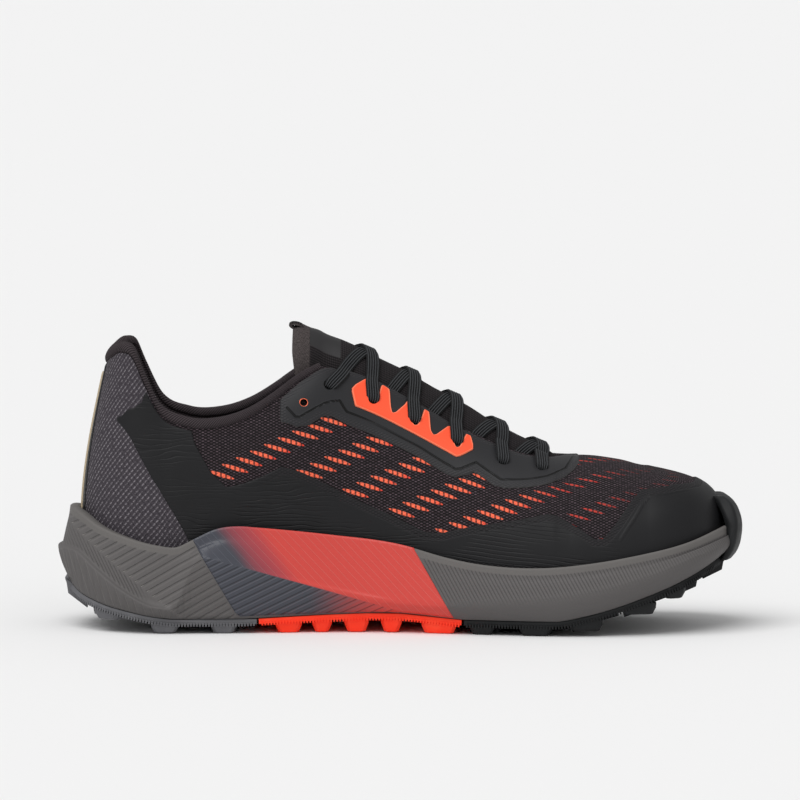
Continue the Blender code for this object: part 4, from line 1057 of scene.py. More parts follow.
def overlay_paint():
    """Smooth black film welded to the knit, with fine sunk relief lines painted darker as painted shade; its
    narrow border lets the knit show.
    """
    paint = Paint("smooth_black_film", "#19191a", 0.5, Specular_IOR_Level=0.2)
    u, v = paint.cloth_place()
    edge, groove = paint.cloth_place("marks")
    calm = u.ramp(-10.0, 25.0)
    wavy = paint.noise(paint.vector(u * 0.35, v), 9.0, 2.0) * (1 - calm * 0.75)
    field = wavy * 4.5 + v * 0.55 + u * calm * 0.06
    fading = paint.noise(paint.vector(u * 0.5, v), 16.0, 1.0).ramp(0.38, 0.6)
    contour = (field.part() - 0.5).size().ramp(0.2, 0.02) * fading * u.ramp(100.0, 84.0)
    weave = knit_weave(u, v)
    border = edge.ramp(BORDER, BORDER - 0.6) * u.ramp(-60.0, -52.0)
    toe = u.ramp(92.0, 96.0) * groove.ramp(1.2, 0.1)
    grain = paint.noise(paint.vector(u, v), 0.35, 1.0)
    tone = paint.noise(paint.vector(u, v), 18.0, 2.0)
    base = paint.blend(tone, "#161617", "#1c1c1e")
    # The sunk relief lines are painted darker: painted shade in them.
    tint = paint.blend(contour * 0.35, base, "#0c0c0d")
    tint = paint.blend(border * weave.ramp(0.0, 0.8) * 0.6, tint, "#2c272a")
    height = grain * 0.02 - contour * 0.16 + border * weave * 0.08 - border * 0.10 + toe * 0.15
    rough = 0.42 + tone * 0.14 + border * 0.12
    return paint.finish(Base_Color=tint, Roughness=rough, height=height)


def eyestay_paint():
    """Satin dark grey film with a soft-edged groove along it, painted near black as painted shade; its rolled
    edge is painted lighter as a painted highlight, and the knit shows faintly outside the groove.
    """
    paint = Paint("eyestay_film", "#27272a", 0.48, Specular_IOR_Level=0.22)
    u, v = paint.cloth_place()
    edge, groove = paint.cloth_place("marks")
    weave = knit_weave(u, v)
    border = edge.ramp(BORDER - 0.4, BORDER - 1.4) * groove.ramp(0.3, 0.9)
    channel = groove.ramp(0.62, 0.3)
    lip = groove.ramp(1.1, 0.6) * groove.ramp(0.3, 0.7)
    grain = paint.noise(paint.vector(u, v), 0.4, 1.0)
    base = paint.blend(grain, "#232325", "#2a2a2c")
    tint = paint.blend(border * weave.ramp(0.0, 0.9) * 0.5, base, "#373235")
    # The groove is painted near black: painted shade in the groove.
    tint = paint.blend(channel, tint, "#040404")
    # The film's rolled edge is painted lighter: a painted highlight.
    tint = paint.blend(edge.ramp(0.5, 0.1) * 0.5, tint, "#4c4a49")
    height = grain * 0.02 - channel * 0.3 + lip * 0.06 + border * weave * 0.07
    return paint.finish(Base_Color=tint, height=height)


def guide_paint():
    """Bright moulded film whose rolled rim is painted paler: a painted highlight."""
    paint = Paint("guide_film", "#ff5a36", 0.42, Specular_IOR_Level=0.25)
    u, v = paint.cloth_place()
    edge = paint.cloth_place("marks")[0]
    grain = paint.noise(paint.vector(u, v), 0.5, 1.0)
    # The rolled rim is painted paler: a painted highlight on its roll.
    rim = edge.ramp(0.75, 0.35)
    tint = paint.blend(rim * 0.7, paint.blend(grain, "#fb5230", "#ff5c39"), "#ff8a66")
    return paint.finish(Base_Color=tint, height=grain * 0.02)


def heel_mesh_paint():
    """Grey mesh of diagonal yarns with rows of small holes."""
    paint = Paint("heel_mesh", "#4a464b", 0.82, Specular_IOR_Level=0.2)
    u, v = paint.cloth_place()
    place = paint.vector(u, v)
    row = (v / MESH_ROW).maths("FLOOR")
    across = (u + row * MESH_STEP / 2).cell(MESH_STEP)
    up = v.cell(MESH_ROW)
    stroke = (up * 0.45 - across * 1.1).size().ramp(0.24, 0.08) * up.size().ramp(0.46, 0.32)
    hole = (across - 0.5).size().least(0.0).ramp(0.16, 0.02) * up.size().ramp(0.3, 0.1)
    uneven = paint.noise(place, 1.6, 1.0).ramp(0.3, 0.6)
    yarn = (u * 0.8 - v * 1.2).wave(0.6)
    base = paint.blend(yarn.ramp(-0.8, 0.8), "#353136", "#464147")
    tint = paint.blend(stroke * uneven, base, "#7c777c")
    tint = paint.blend(hole * 0.8, tint, "#17141a")
    return paint.finish(Base_Color=tint, height=stroke * 0.22 + yarn * 0.04 - hole * 0.2)


def trim_paint():
    """Cream edge film up the back of the heel."""
    paint = Paint("cream_film", "#c9b89c", 0.5)
    x, y, z = paint.solid_place()
    grain = paint.noise(paint.vector(x, y, z), 1.2)
    return paint.finish(Base_Color=paint.blend(grain, "#a8987e", "#b8a98f"), height=grain * 0.03)


def foam_paint():
    """Moulded foam: fine skin, slanting grooves on the heel, steep fine ones in front, a smooth pale rim. The
    grooves are painted darker as painted shade; their ridges, their starts and the flutes under the step are
    painted lighter as painted highlights.
    """
    paint = Paint("moulded_foam", "#575554", 0.66, Specular_IOR_Level=0.25)
    arc, z = paint.cloth_place()
    line, rim = paint.cloth_place("marks")
    x, y, solid_z = paint.solid_place()
    place = paint.vector(x, y, solid_z)
    skin_grain = paint.noise(place, 0.5, 2.0)
    above = line.ramp(0.6, 1.4)
    band = rim.ramp(3.2, 2.4)
    start = z - GROOVE_START[1] + (x - GROOVE_START[0]) * GROOVE_START_FALL
    turn = math.radians(GROOVE_TURN)
    slanting = (z * math.cos(turn) - x * math.sin(turn)).cell(GROOVE_PITCH)
    heel = (x + z * 0.58).ramp(*HEEL_FOAM_END)
    groove = slanting.size().ramp(0.38, 0.48) * start.ramp(0.0, 0.8) * (1 - band) * heel
    ridge = (slanting - 0.22).size().ramp(0.16, 0.04) * start.ramp(0.0, 0.8) * (1 - band) * heel
    # Where each groove starts it is painted bright: a painted highlight.
    bright = groove * start.ramp(3.0, 0.3)
    fan = (z * 0.45 + x * 0.89).cell(FAN_PITCH).size().ramp(0.28, 0.46)
    fan = fan * above * start.ramp(0.0, -1.0) * x.ramp(-108.0, -116.0)
    upright = (x * 0.95 + z * 0.3).cell(GROOVE_PITCH).size().ramp(0.44, 0.5)
    upright = upright * line.ramp(0.0, -1.0) * start.ramp(-2.0, -4.0) * heel
    front = arc.ramp(FRONT_GROOVES - 2, FRONT_GROOVES)
    steep = (arc * 0.87 + z * 0.5).cell(FINE_PITCH)
    fade = line.ramp(-4.0, 3.0)
    fine = steep.size().ramp(0.3, 0.5) * front * (1 - band) * fade
    tint = paint.blend(skin_grain, "#555353", "#5f5c5b")
    tint = paint.blend(band * 0.5, tint, "#6c6966")
    # Painted shade in the slanting, fan and fine grooves.
    tint = paint.blend((groove + fan) * 0.28 + fine * 0.4, tint, "#3a3837")
    # Painted highlights on the ridges beside the grooves and on the flutes.
    tint = paint.blend(ridge * 0.2 + upright * 0.6, tint, "#7b7775")
    # Painted highlight at the grooves' starts.
    tint = paint.blend(bright * 0.6, tint, "#8a8682")
    height = skin_grain * 0.03 - groove * 0.3 - fine * 0.2 - fan * 0.2 + upright * 0.12
    return paint.finish(Base_Color=tint, height=height)


def support_paint():
    """Glossy film that goes from grey-blue to coral, with fine lines above its crease and ribs below it; the
    ribs carry a painted highlight on one flank and painted shade along the rib lines.
    """
    paint = Paint("support_film", "#a04542", 0.32, Specular_IOR_Level=0.3)
    x, _, z = paint.solid_place()
    crease_height = CREASE_AT[1] + (x - CREASE_AT[0]) * CREASE_SLOPE
    above = (z - crease_height).ramp(-0.3, 0.3)
    turn = paint.noise(paint.vector(x, z), 30.0) * 6
    tilt = x + turn + (z - crease_height) * 0.9
    coral = above * tilt.ramp(-66.0, -38.0) + (1 - above) * (x + turn).ramp(-38.0, 4.0)
    base = paint.blend(coral, "#41434b", "#c8453e")
    warm = paint.blend(above * tilt.ramp(-68, -54) * tilt.ramp(-36, -50) * 0.5, base, "#9a3c4a")
    lines = (x * 0.73 + z * 0.70).cell(FILM_LINES)
    ribs = (z * 0.90 - x * 0.44).cell(FILM_RIBS)
    rib_edge_highlight = (ribs - 0.18).size().ramp(0.14, 0.03) * (1 - above) * (1 - coral)
    fine = lines.size().ramp(0.42, 0.5) * above
    rib = ribs.size() * (1 - above)
    tint = paint.blend(fine * 0.3, warm, paint.blend(coral, "#777a84", "#e8867c"))
    # A painted highlight on one flank of each rib.
    tint = paint.blend(rib_edge_highlight * 0.45, tint, "#6d6f78")
    # The rib lines are painted dark: painted shade.
    tint = paint.blend(rib.ramp(0.36, 0.5) * 0.7, tint, "#17181c")
    height = fine * 0.10 + rib * 0.5
    return paint.finish(Base_Color=tint, height=height)


def rubber_paint(name, code, light, roughness):
    """Moulded rubber with a fine skin and lighter scuffed patches."""
    paint = Paint(name, code, roughness, Specular_IOR_Level=0.22)
    x, y, z = paint.solid_place()
    place = paint.vector(x, y, z)
    grain = paint.noise(place, 0.6, 2.0)
    worn = paint.noise(place, 7.0, 3.0).ramp(0.45, 0.75)
    tint = paint.blend(worn * 0.5, code, light)
    return paint.finish(Base_Color=tint, Roughness=worn * 0.15 + roughness, height=grain * 0.04)


def collar_paint():
    """Ribbed knit binding."""
    paint = Paint("collar_knit", "#2b2628", 0.9, Specular_IOR_Level=0.2)
    u, v = paint.cloth_place()
    rib = (u + v * 0.9).wave(1.15)
    cross = (v * 0.9 - u).wave(0.8)
    tint = paint.blend((rib * 0.7 + cross * 0.3).ramp(-0.9, 0.9), "#1f1a1c", "#4b4346")
    return paint.finish(Base_Color=tint, height=rib * 0.14 + cross * 0.05)


def tongue_paint():
    """Tongue: brushed cloth at the tip, a smooth patch, and textured knit below it."""
    paint = Paint("tongue_knit", "#3a3436", 0.88, Specular_IOR_Level=0.25)
    u, v = paint.cloth_place()
    knit = (u + v * 0.6).wave(1.4) * (u - v * 0.6).wave(1.4)
    brushed = paint.noise(paint.vector(u * 2.5, v * 0.8), 0.7, 2.0)
    patch = (u + 31.6).size().ramp(8.0, 7.4) * v.size().ramp(13.0, 12.4)
    tip = u.ramp(-38.8, -39.8)
    base = paint.blend(knit.ramp(-0.5, 0.7), "#121011", "#2c2729")
    tint = paint.blend(tip, base, paint.blend(brushed.ramp(0.35, 0.65), "#2e2929", "#504948"))
    tint = paint.blend(patch, tint, "#2b2a2b")
    rough = 0.88 - patch * 0.4
    height = knit * 0.16 * (1 - tip) * (1 - patch) + brushed * tip * 0.15
    return paint.finish(Base_Color=tint, Roughness=rough, height=height)


def lace_paint():
    """Flat woven lace: a herringbone of fine yarn along its ribs, with painted highlights on the rib crests
    and painted shade between them.
    """
    paint = Paint("woven_lace", "#2e2f31", 0.8, Specular_IOR_Level=0.25)
    u, v = paint.cloth_place()
    weave = (u + v.wave(2.2) * 0.35).wave(0.75)
    rib = (v + LACE_RIB / 4).wave(LACE_RIB)
    tint = paint.blend(weave.ramp(-0.7, 0.9), "#161617", "#2c2d2f")
    # Painted highlights on the rib crests.
    tint = paint.blend(rib.ramp(0.2, 1.0) * 0.55, tint, "#57595c")
    # Painted shade in the troughs between the ribs.
    tint = paint.blend(rib.ramp(-0.3, -1.0) * 0.8, tint, "#080808")
    return paint.finish(Base_Color=tint, height=weave * 0.08)


def insole_paint():
    """Brushed cloth top of the insole."""
    paint = Paint("insole_cloth", "#2b282a", 0.9, Specular_IOR_Level=0.2)
    x, y = paint.solid_place()[:2]
    weave = (x + y).wave(1.1) * (x - y).wave(1.1)
    tint = paint.blend(weave.ramp(-0.6, 0.8), "#1f1c1e", "#373235")
    return paint.finish(Base_Color=tint, height=weave * 0.06)


def line_on_cloth(points):
    """A line given by ways and height shares, as places on the cloth."""
    drawn = np.array(points)
    filled = [np.linspace(a, b, 9)[:-1] for a, b in zip(drawn[:-1], drawn[1:])] + [drawn[-1:]]
    way, share = np.concatenate(filled).T
    return on_wall(-way, share[:, None], 0.0)[1][:, 0]


def wall_spot(way, height, side):
    """One place on the wall: its ray, and the curve's own parameter at this share of the wall's height."""
    run = np.array([side * way])
    return run, t_of_height(run, np.array([[height]]))[0]


def eyelet(number):
    """The way and the share of the wall's height of one eyelet."""
    return float(EYELETS("way", number)), float(EYELETS("height", number))


def eyelet_holes():
    """Cutters through every eyelet and the spare one."""
    work = bmesh.new()
    for way, height in [eyelet(n) for n in range(1, EYELET_COUNT + 1)] + [SPARE_EYELET]:
        for side in (-1.0, 1.0):
            run, t = wall_spot(way, height, side)
            centre, normal = skin_at(run, t)[0], skin_normal(run, t)[0]
            turn = Vector(normal).to_track_quat("Z", "Y").to_matrix().to_4x4()
            turn.translation = Vector(centre)
            radius = (SPARE_BORE if (way, height) == SPARE_EYELET else EYELET_BORE) / 2
            bmesh.ops.create_cone(work, cap_ends=True, segments=28, radius1=radius, radius2=radius,
                                  depth=HOLE_DEPTH, matrix=turn)
    mesh = bpy.data.meshes.new("Eyelet cutters")
    work.to_mesh(mesh)
    work.free()
    return placed("Eyelet cutters", mesh)


def knitted_upper(holes):
    """The upper's own cloth, knit on both faces, with the eyelets cut through."""
    ways = np.linspace(0, 1, 321)
    run = np.concatenate([ways, -ways[-2:0:-1]])
    t = np.linspace(0, 1, 44)
    _, length = profiles(run)
    v = np.array([np.interp(t, SAMPLES, row) for row in length])
    u = np.broadcast_to((np.abs(run)[:, None] - 0.5) * LENGTH, v.shape)
    points = skin_at(run[:, None], t[None, :], creases(u, v))
    more = collar_lift(np.abs(run))[:, None] * np.array([0.35, 0.7, 1.0])[None, :]
    above = points[:, -1:] + more[..., None] * edge_up(run)[:, None]
    points = np.concatenate([points, above], axis=1)
    u = np.concatenate([u, u[:, :3]], axis=1)
    v = np.concatenate([v, v[:, -1:] + more], axis=1)
    made = mesh_object("upper_knit", points, grid_faces(len(run), len(t) + 3), np.stack([u, v], axis=-1))
    solid = made.modifiers.new("Cloth", "SOLIDIFY")
    solid.thickness = WALL
    solid.offset = -1
    plain(made)
    pierced(made, holes)
    dress(made, ["upper"], "knit", KNIT)


def overlay():
    """The smooth black film from the heel quarter along the rand and over the toe."""
    steps = ((0.0855, 0.19, 0.0018), (0.1905, 0.23, 0.0008), (0.232, 1.0, 0.0026))
    ways = np.concatenate([run_of(*step, 1) for step in steps])
    whole = np.concatenate([ways, -ways[-2::-1]])
    top = edge_line(MUDGUARD, "high")

    def high(way):
        return top(way) + 0.055 * past(way, 0.124, 0.004) * past(way, 0.2015, -0.004)

    made = film("smooth_overlay", [whole], edge_line(MUDGUARD, "low"), high, 0.6 * MM,
                rows=26, groove=line_on_cloth(TOE_LINE))
    dress(made, ["mudguard"], "smooth_film", OVERLAY)


def heel_counter():
    """The grey mesh at the heel, under the black film's corner."""
    low, high = (lambda way: 0 * way + 0.03), (lambda way: 0 * way + 1.036)
    for side, name in SIDES:
        made = film("heel_mesh_" + name, [run_of(0.021, 0.197, 0.0016, side)], low, high, 0.3 * MM, rows=24)
        dress(made, ["heel_panel_" + name], "grey_mesh", HEEL_MESH)


def heel_spine():
    """The black strip up the back of the heel and the cream edge on it."""
    strips = (
        ("heel_strip_film", 0.027, 33, lambda way: 0.14 - way, lambda way: 1.03 - 0.6 * way, 0.75),
        ("heel_edge_film", 0.0085, 15, lambda way: 0.15 + 3 * way, lambda way: 1.0 - 3 * way, 1.5),
    )
    finishes = (("heel_strip", "smooth_film", OVERLAY), ("heel_rib", "cream_trim", CREAM))
    for (name, half, count, low, high, proud), (node, slot, paint) in zip(strips, finishes):
        made = film(name, [np.linspace(-half, half, count)], low, high, proud * MM, rows=24)
        dress(made, [node], slot, paint)


def throat_film(holes):
    """The dark film round the throat, both sides joined in front of it."""
    run = run_of(0.325, 0.7605, 0.0014, 1)
    top = edge_line(EYESTAY_EDGE, "high")

    def high(way):
        return top(way) + 0.04 * past(way, COLLAR_FRONT, -COLLAR_FADE)

    made = film("throat_film", [-run[::-1], run], edge_line(EYESTAY_EDGE, "low"), high, 0.6 * MM, rows=24,
                groove=line_on_cloth(GROOVE))
    pierced(made, holes)
    dress(made, ["eyestay"], "dark_film", EYESTAY_FILM)


def bright_guides(holes):
    """The sawtooth film at the eyelets of each side."""
    for side, name in SIDES:
        run = run_of(0.4287, 0.6058, 0.0006, side)
        made = film("bright_guide_" + name, [run], edge_line(GUIDE_EDGE, "low", 0.0008),
                    edge_line(GUIDE_EDGE, "high", 0.0009), 1.35 * MM, rows=10, roll=0.5 * MM)
        pierced(made, holes)
        dress(made, ["lace_guide_" + name], "guide_film", GUIDE_FILM)


def spare_rings():
    """A small bright ring in the spare eyelet of each side."""
    for side, name in SIDES:
        run, t = wall_spot(*SPARE_EYELET, side)
        centre, normal = skin_at(run, t, 0.45 * MM)[0], skin_normal(run, t)[0]
        across = unit(np.cross(normal, [0.0, 0.0, 1.0]))
        up = np.cross(across, normal)
        rings = []
        for a in np.linspace(0, 2 * math.pi, 33)[:-1]:
            out = across * math.cos(a) + up * math.sin(a)
            ring = []
            for b in np.linspace(0, 2 * math.pi, 13)[:-1]:
                reach = SPARE_BORE / 2 + 0.05 * MM + RING * math.cos(b)
                ring.append(centre + out * reach + normal * (RING * math.sin(b) - 0.15 * MM))
            rings.append(ring)
        made = mesh_object("spare_eyelet_ring_" + name, rings, loft_faces(32, 12, True))
        dress(turn_out(made), [], "guide_film", GUIDE_FILM)


def moulded_midsole():
    """The foam: flutes under the heel's step, a crease along the side and a rounded pale rim."""
    half = np.concatenate([np.linspace(0, RIB_END, 211), np.linspace(RIB_END, 1, 231)[1:]])
    run = np.concatenate([half, -half[-2:0:-1]])
    way = np.abs(run)
    at = np.concatenate([np.linspace(0, 2, 13), [2.15, 2.35, 2.55, 2.8], np.linspace(3, 6, 17)])
    side = foam_side(run[:, None], at[None, :])
    out = outward(run)
    flute = (0.5 - 0.5 * np.cos(2 * np.pi * way * RIBS * 3 / RIB_END)) ** 3
    deep = 0.45 * RIB_DEPTH * past(way, RIB_END, -0.04) * flute
    shape = np.sin(past(at, 0, 2) * np.pi) ** 0.5 * (at < 2)
    side = side - out[:, None, :] * (deep[:, None] * shape[None, :])[..., None]
    rows = disc_rows(run, parting_radius(run), [0.0, 0.5, 0.9, 0.985], foam_bottom)
    rows += list(np.moveaxis(side, 1, 0))
    rim = rows[-1]
    rows.append(rim - out * 0.5 * MM + np.array([0, 0, 0.35 * MM]))
    tray = tray_radius(run) - 0.45 * MM
    for radius, drop in ((tray + 0.4 * MM, 0.0), (tray, 0.5 * MM), (tray, 2.5 * MM)):
        lip = on_ray(run, radius, 0)
        lip[:, 2] = rim[:, 2] - drop
        rows.append(lip)
    rows += disc_rows(run, tray, [1.0, 0.55, 0.0], lambda x: level("floor", x))
    points = np.stack(rows, axis=1)
    arc = run_length(foam_side(run, np.full(run.shape, 3.0)))
    there = arc[len(half) - 1]
    total = arc[-1] + arc[1]
    arc = np.minimum(arc, total - arc) - there / 2
    arc = np.repeat(arc[:, None], points.shape[1], axis=1)
    crease_line = foam_side(run, np.full(run.shape, 2.5))[:, 2]
    marks = np.stack([points[..., 2] - crease_line[:, None], rim[:, None, 2] - points[..., 2]], axis=-1)
    marks[:, len(rows) - 3 :, 1] = 9 * MM
    made = mesh_object("foam_midsole", points, grid_faces(len(run), len(rows)),
                       np.stack([arc, points[..., 2]], axis=-1), marks)
    dress(turn_out(made), ["midsole"], "foam", FOAM)


def side_support():
    """The glossy film on the inner side of the foam: its ends lean forward."""
    at = np.concatenate([np.linspace(0.1, 2, 12), [2.15, 2.35, 2.55, 2.8], np.linspace(3, 6, 24)])
    starts = np.linspace(FILM_FRONT, FILM_REAR, 150)
    w = -starts[:, None] * np.ones(len(at))[None, :]
    top = foam_side(w, 6.0 + 0 * w)[..., 2]
    for _ in range(4):
        drop = top - foam_side(w, at[None, :] + 0 * w)[..., 2]
        w = -(starts[:, None] + drop * FILM_LEAN / LENGTH)
    base = foam_side(w, at[None, :] + 0 * w)
    base[:, -1, 2] += 0.5 * MM
    out = outward(w)
    outer = [0.0, 0.3] + [0.45] * (len(at) - 3) + [0.3]
    face = base + out * (np.array(outer) * MM)[None, :, None]
    back = base - out * 0.3 * MM
    rings = np.concatenate([face, back[:, ::-1]], axis=1)
    for end in (0, -1):
        rings[end, : len(at)] = base[end]
    made = mesh_object("side_support_film", rings, loft_faces(*rings.shape[:2]))
    dress(turn_out(made), ["support_film"], "support_film", SUPPORT_FILM)


def bumper():
    """The rubber tab up the front of the toe, one smooth bulge from the plate to the toe film."""
    across = np.linspace(-1, 1, 41)
    z = np.linspace(TAB[0][0], TAB[-1][0], 34)
    reach = smoothed(np.interp(z, *zip(*TAB)), 6)
    rise = (z - z[0]) / (z[-1] - z[0])
    rings = []
    for place in across:
        w = wrapped(1.0 + 0.046 * place * (1 - 0.30 * rise**2))
        share = sole_radius(w) / sole_radius(np.array(1.0))
        side = 1.2 * (1 - past(abs(place), 1, -0.10)) ** 2
        outer = on_ray(w, (reach * share - side) * MM, z * MM)
        inner = on_ray(w, (reach * share - 2.6 - 5 * rise) * MM, z * MM)
        rings.append(np.concatenate([outer, inner[::-1]]))
    rings = np.array(rings)
    made = mesh_object("toe_tab", rings, loft_faces(*rings.shape[:2]))
    dress(turn_out(made), ["toe_bumper"], "black_rubber", BLACK_RUBBER)


def edge_lugs(node):
    """Tapered blocks under both edges of a plate, as rings of points from the plate to the ground."""
    ways = np.linspace(0.002, 0.998, 700)
    bodies = []
    for side in (-1.0, 1.0):
        run = side * ways
        edge = on_ray(run, parting_radius(run) - PLATE_INSET, 0)
        for rear, front, wide in EDGE_LUGS[node]:
            if side > 0:
                rear, front = rear + LUG_SHIFT, front + LUG_SHIFT
            middle, half = (rear + front) / 2 * MM, (front - rear) / 2 * MM
            w = np.array(side * np.interp(middle, edge[:, 0], ways))
            out = outward(w)[:2]
            spot, ahead = (np.array([np.interp(side * w + more, ways, edge[:, k]) for k in (0, 1)])
                           for more in (0.0, 0.004))
            along = (ahead - spot) / np.linalg.norm(ahead - spot)
            top = float(foam_bottom(spot[0])) - GAP - 0.5 * PLATE
            ground = float(level("ground", spot[0])) * (0.1 if node == "outsole_arch" else 1.0)
            ring_set = []
            for drop, narrow, back in LUG_TAPER:
                z = top + (ground - top) * drop
                a, deep, inset = half - narrow * MM, (wide - narrow) * MM, (0.25 + back) * MM
                corner = min(1.6 * MM, 0.5 * a)
                outline = [
                    (-a + corner, -inset), (a - corner, -inset), (a, -inset - corner), (a * 0.92, -deep),
                    (-a * 0.92, -deep), (-a, -inset - corner),
                ]
                ring_set.append([(*(spot + along * x + out * y), z) for x, y in outline])
            bodies.append(np.array(ring_set))
    return bodies


def plate_ribs():
    """Fine teeth along both lower edges of each plate."""
    ways = np.linspace(0.002, 0.998, 900)
    for part, slot, paint in PLATES:
        across = [corner[0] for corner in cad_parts["outsole_" + part].bound_box]
        points, pairs = [], []
        for side in (-1.0, 1.0):
            run = side * ways
            edge = on_ray(run, parting_radius(run) - PLATE_INSET, 0)
            edge[:, 2] = foam_bottom(edge[:, 0]) - GAP - PLATE
            edge = edge[(edge[:, 0] > min(across) + TOOTH_MARGIN) & (edge[:, 0] < max(across) - TOOTH_MARGIN)]
            pairs += [(len(points) + i, len(points) + i + 1) for i in range(len(edge) - 1)]
            points += edge.tolist()
        mesh = bpy.data.meshes.new("plate_ribs_" + part)
        mesh.from_pydata(points, pairs, [])
        made = placed("plate_ribs_" + part, mesh)
        tree = row_tree(paint)
        row = made.modifiers.new("Ribs", "NODES")
        row.node_group = tree
        for socket in tree.interface.items_tree:
            if socket.name in TOOTH:
                row[socket.identifier] = TOOTH[socket.name]
        dress(plain(made), [], slot, paint)


def treads():
    """The plates and lugs: their solids with the edge blocks added and all edges rounded."""
    for part, slot, paint in PLATES:
        node = "outsole_" + part
        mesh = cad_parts[node].data.copy()
        work = bmesh.new()
        work.from_mesh(mesh)
        bmesh.ops.remove_doubles(work, verts=work.verts, dist=2e-5)
        bmesh.ops.dissolve_limit(work, angle_limit=math.radians(3), verts=work.verts, edges=work.edges)
        for rings in edge_lugs(node):
            size = rings.shape[1]
            verts = [work.verts.new(point) for point in rings.reshape(-1, 3)]
            faces = [work.faces.new([verts[i] for i in face]) for face in loft_faces(len(rings), size)]
            bmesh.ops.recalc_face_normals(work, faces=faces)
        work.to_mesh(mesh)
        work.free()
        made = placed("tread_" + part, mesh)
        edge = made.modifiers.new("Soft edges", "BEVEL")
        edge.width = EDGE_ROUND
        edge.segments = 2
        edge.limit_method = "ANGLE"
        edge.angle_limit = math.radians(35)
        edge.use_clamp_overlap = True
        plain(made)
        made.data.shade_smooth()
        dress(made, [node], slot, paint)


def footbed():
    """The insole, its edge rounded and dished."""
    half = np.linspace(0, 1, 121)
    run = np.concatenate([half, -half[-2:0:-1]])
    radius = column(run, "foot") - WALL - 0.5 * MM
    rows = []
    for share, rise in INSOLE_ROWS:
        rows += disc_rows(run, radius, [share], lambda x: level("floor", x) + rise * MM)
    made = mesh_object("footbed", np.stack(rows, axis=1), grid_faces(len(run), len(rows)))
    dress(turn_out(made), ["insole"], "lining", INSOLE_CLOTH)


def padded_collar():
    """The knit binding's round roll on the collar's edge, and the pad that hangs from it inside."""
    ways = np.linspace(0, ROLL_FRONT, 130)
    run = np.concatenate([-ways[:0:-1], ways])
    edge = skin_at(run, np.ones(run.shape))
    normal = skin_normal(run, np.ones(run.shape))
    up = edge_up(run)
    inside = WALL + 0.2 * MM
    way = np.abs(run)
    front = past(way, 0.33, 0.058)[:, None]
    radius = (2.5 - 0.5 * front) * MM
    centre = edge + up * (5.6 - 1.3 * front) * MM - normal * 1.0 * MM
    ring = []
    for angle in ROLL_ANGLES:
        a = math.radians(angle)
        ring.append(centre + radius * (math.cos(a) * normal + math.sin(a) * up))
    for share, thick in PAD_ROWS:
        t = t_below_edge(run, np.full(run.shape, share * PAD_DEPTH))
        ring.append(skin_at(run, t, -inside - thick * PAD * np.ones(run.shape)))
    ring.append(edge + up * 1.5 * MM - normal * inside)
    rings = rounded(np.stack(ring, axis=1), 60)
    for end, part in ((0, 0.55), (1, 0.85), (-2, 0.85), (-1, 0.55)):
        middle = rings[end].mean(axis=0)
        rings[end] = middle + (rings[end] - middle) * part
    places = np.stack([np.repeat(run_length(edge)[:, None], 60, axis=1), run_length(rings, 1)], axis=-1)
    made = mesh_object("padded_collar", rings, loft_faces(*rings.shape[:2]), places)
    dress(turn_out(made), ["collar"], "collar_knit", COLLAR_KNIT)


def tongue_grid(ways, shares):
    """The tongue's outer face: an arch over the throat with flanks under its edges."""
    way, share = (a.ravel() for a in np.meshgrid(ways, shares, indexing="ij"))
    first, last = ways[0], ways[-1]
    way = way + 0.05 * past(np.abs(share), 0.5, 0.5) ** 2 * (last - way) / (last - first)
    inset, arch, reach, part = (TONGUE_ROWS(name, way) for name in ("inset", "arch", "reach", "part"))
    offset = -(WALL + TONGUE_GAP + inset)
    share = share * part
    over = bridge(way, offset, arch, reach, np.clip(share / ARCH_PART, -1, 1))
    over[:, 2] += TONGUE_LIFT("lift", way) * MM * (1 - np.clip(share / ARCH_PART, -1, 1) ** 2)
    w = np.where(share < 0, -way, way)
    depth = past(np.abs(share), ARCH_PART, 1 - ARCH_PART) * TONGUE_FLANK
    flank = skin_at(w, t_below_edge(w, depth), offset)
    found = np.where((np.abs(share) <= ARCH_PART)[:, None], over, flank)
    return found.reshape(len(ways), len(shares), 3)


def soft_tongue():
    """The padded tongue: rounded at the tip and thinner towards its edges."""
    ways = np.concatenate([np.linspace(0.338, 0.36, 14), np.linspace(0.36, 0.755, 84)[1:]])
    shares = np.linspace(-1, 1, 47)
    face = tongue_grid(ways, shares)
    along = np.gradient(face, axis=0)
    across = np.gradient(face, axis=1)
    normal = unit(np.cross(along, across))
    normal = normal * np.sign(normal[..., 2:3].mean())
    edge = np.clip((1 - np.abs(shares)) / 0.12, 0.25, 1) ** 0.5
    tip = np.clip(np.arange(len(ways)) / 5.0, 0.1, 1) ** 0.5
    thick = (TONGUE * tip[:, None] * edge[None, :])[..., None]
    swell = 0.35 * MM * (1 - tip[:, None, None])
    outer = face - normal * swell
    rings = np.concatenate([outer, (outer - normal * thick)[:, ::-1]], axis=1)
    u = np.repeat(((ways - 0.5) * LENGTH)[:, None], rings.shape[1], axis=1)
    v = run_length(face, 1)
    v = v - v[:, len(shares) // 2][:, None]
    v = np.concatenate([v, v[:, ::-1]], axis=1)
    made = mesh_object("soft_tongue", rings, loft_faces(*rings.shape[:2]), np.stack([u, v], axis=-1))
    dress(turn_out(made), ["tongue"], "tongue_knit", TONGUE_CLOTH)
    return face


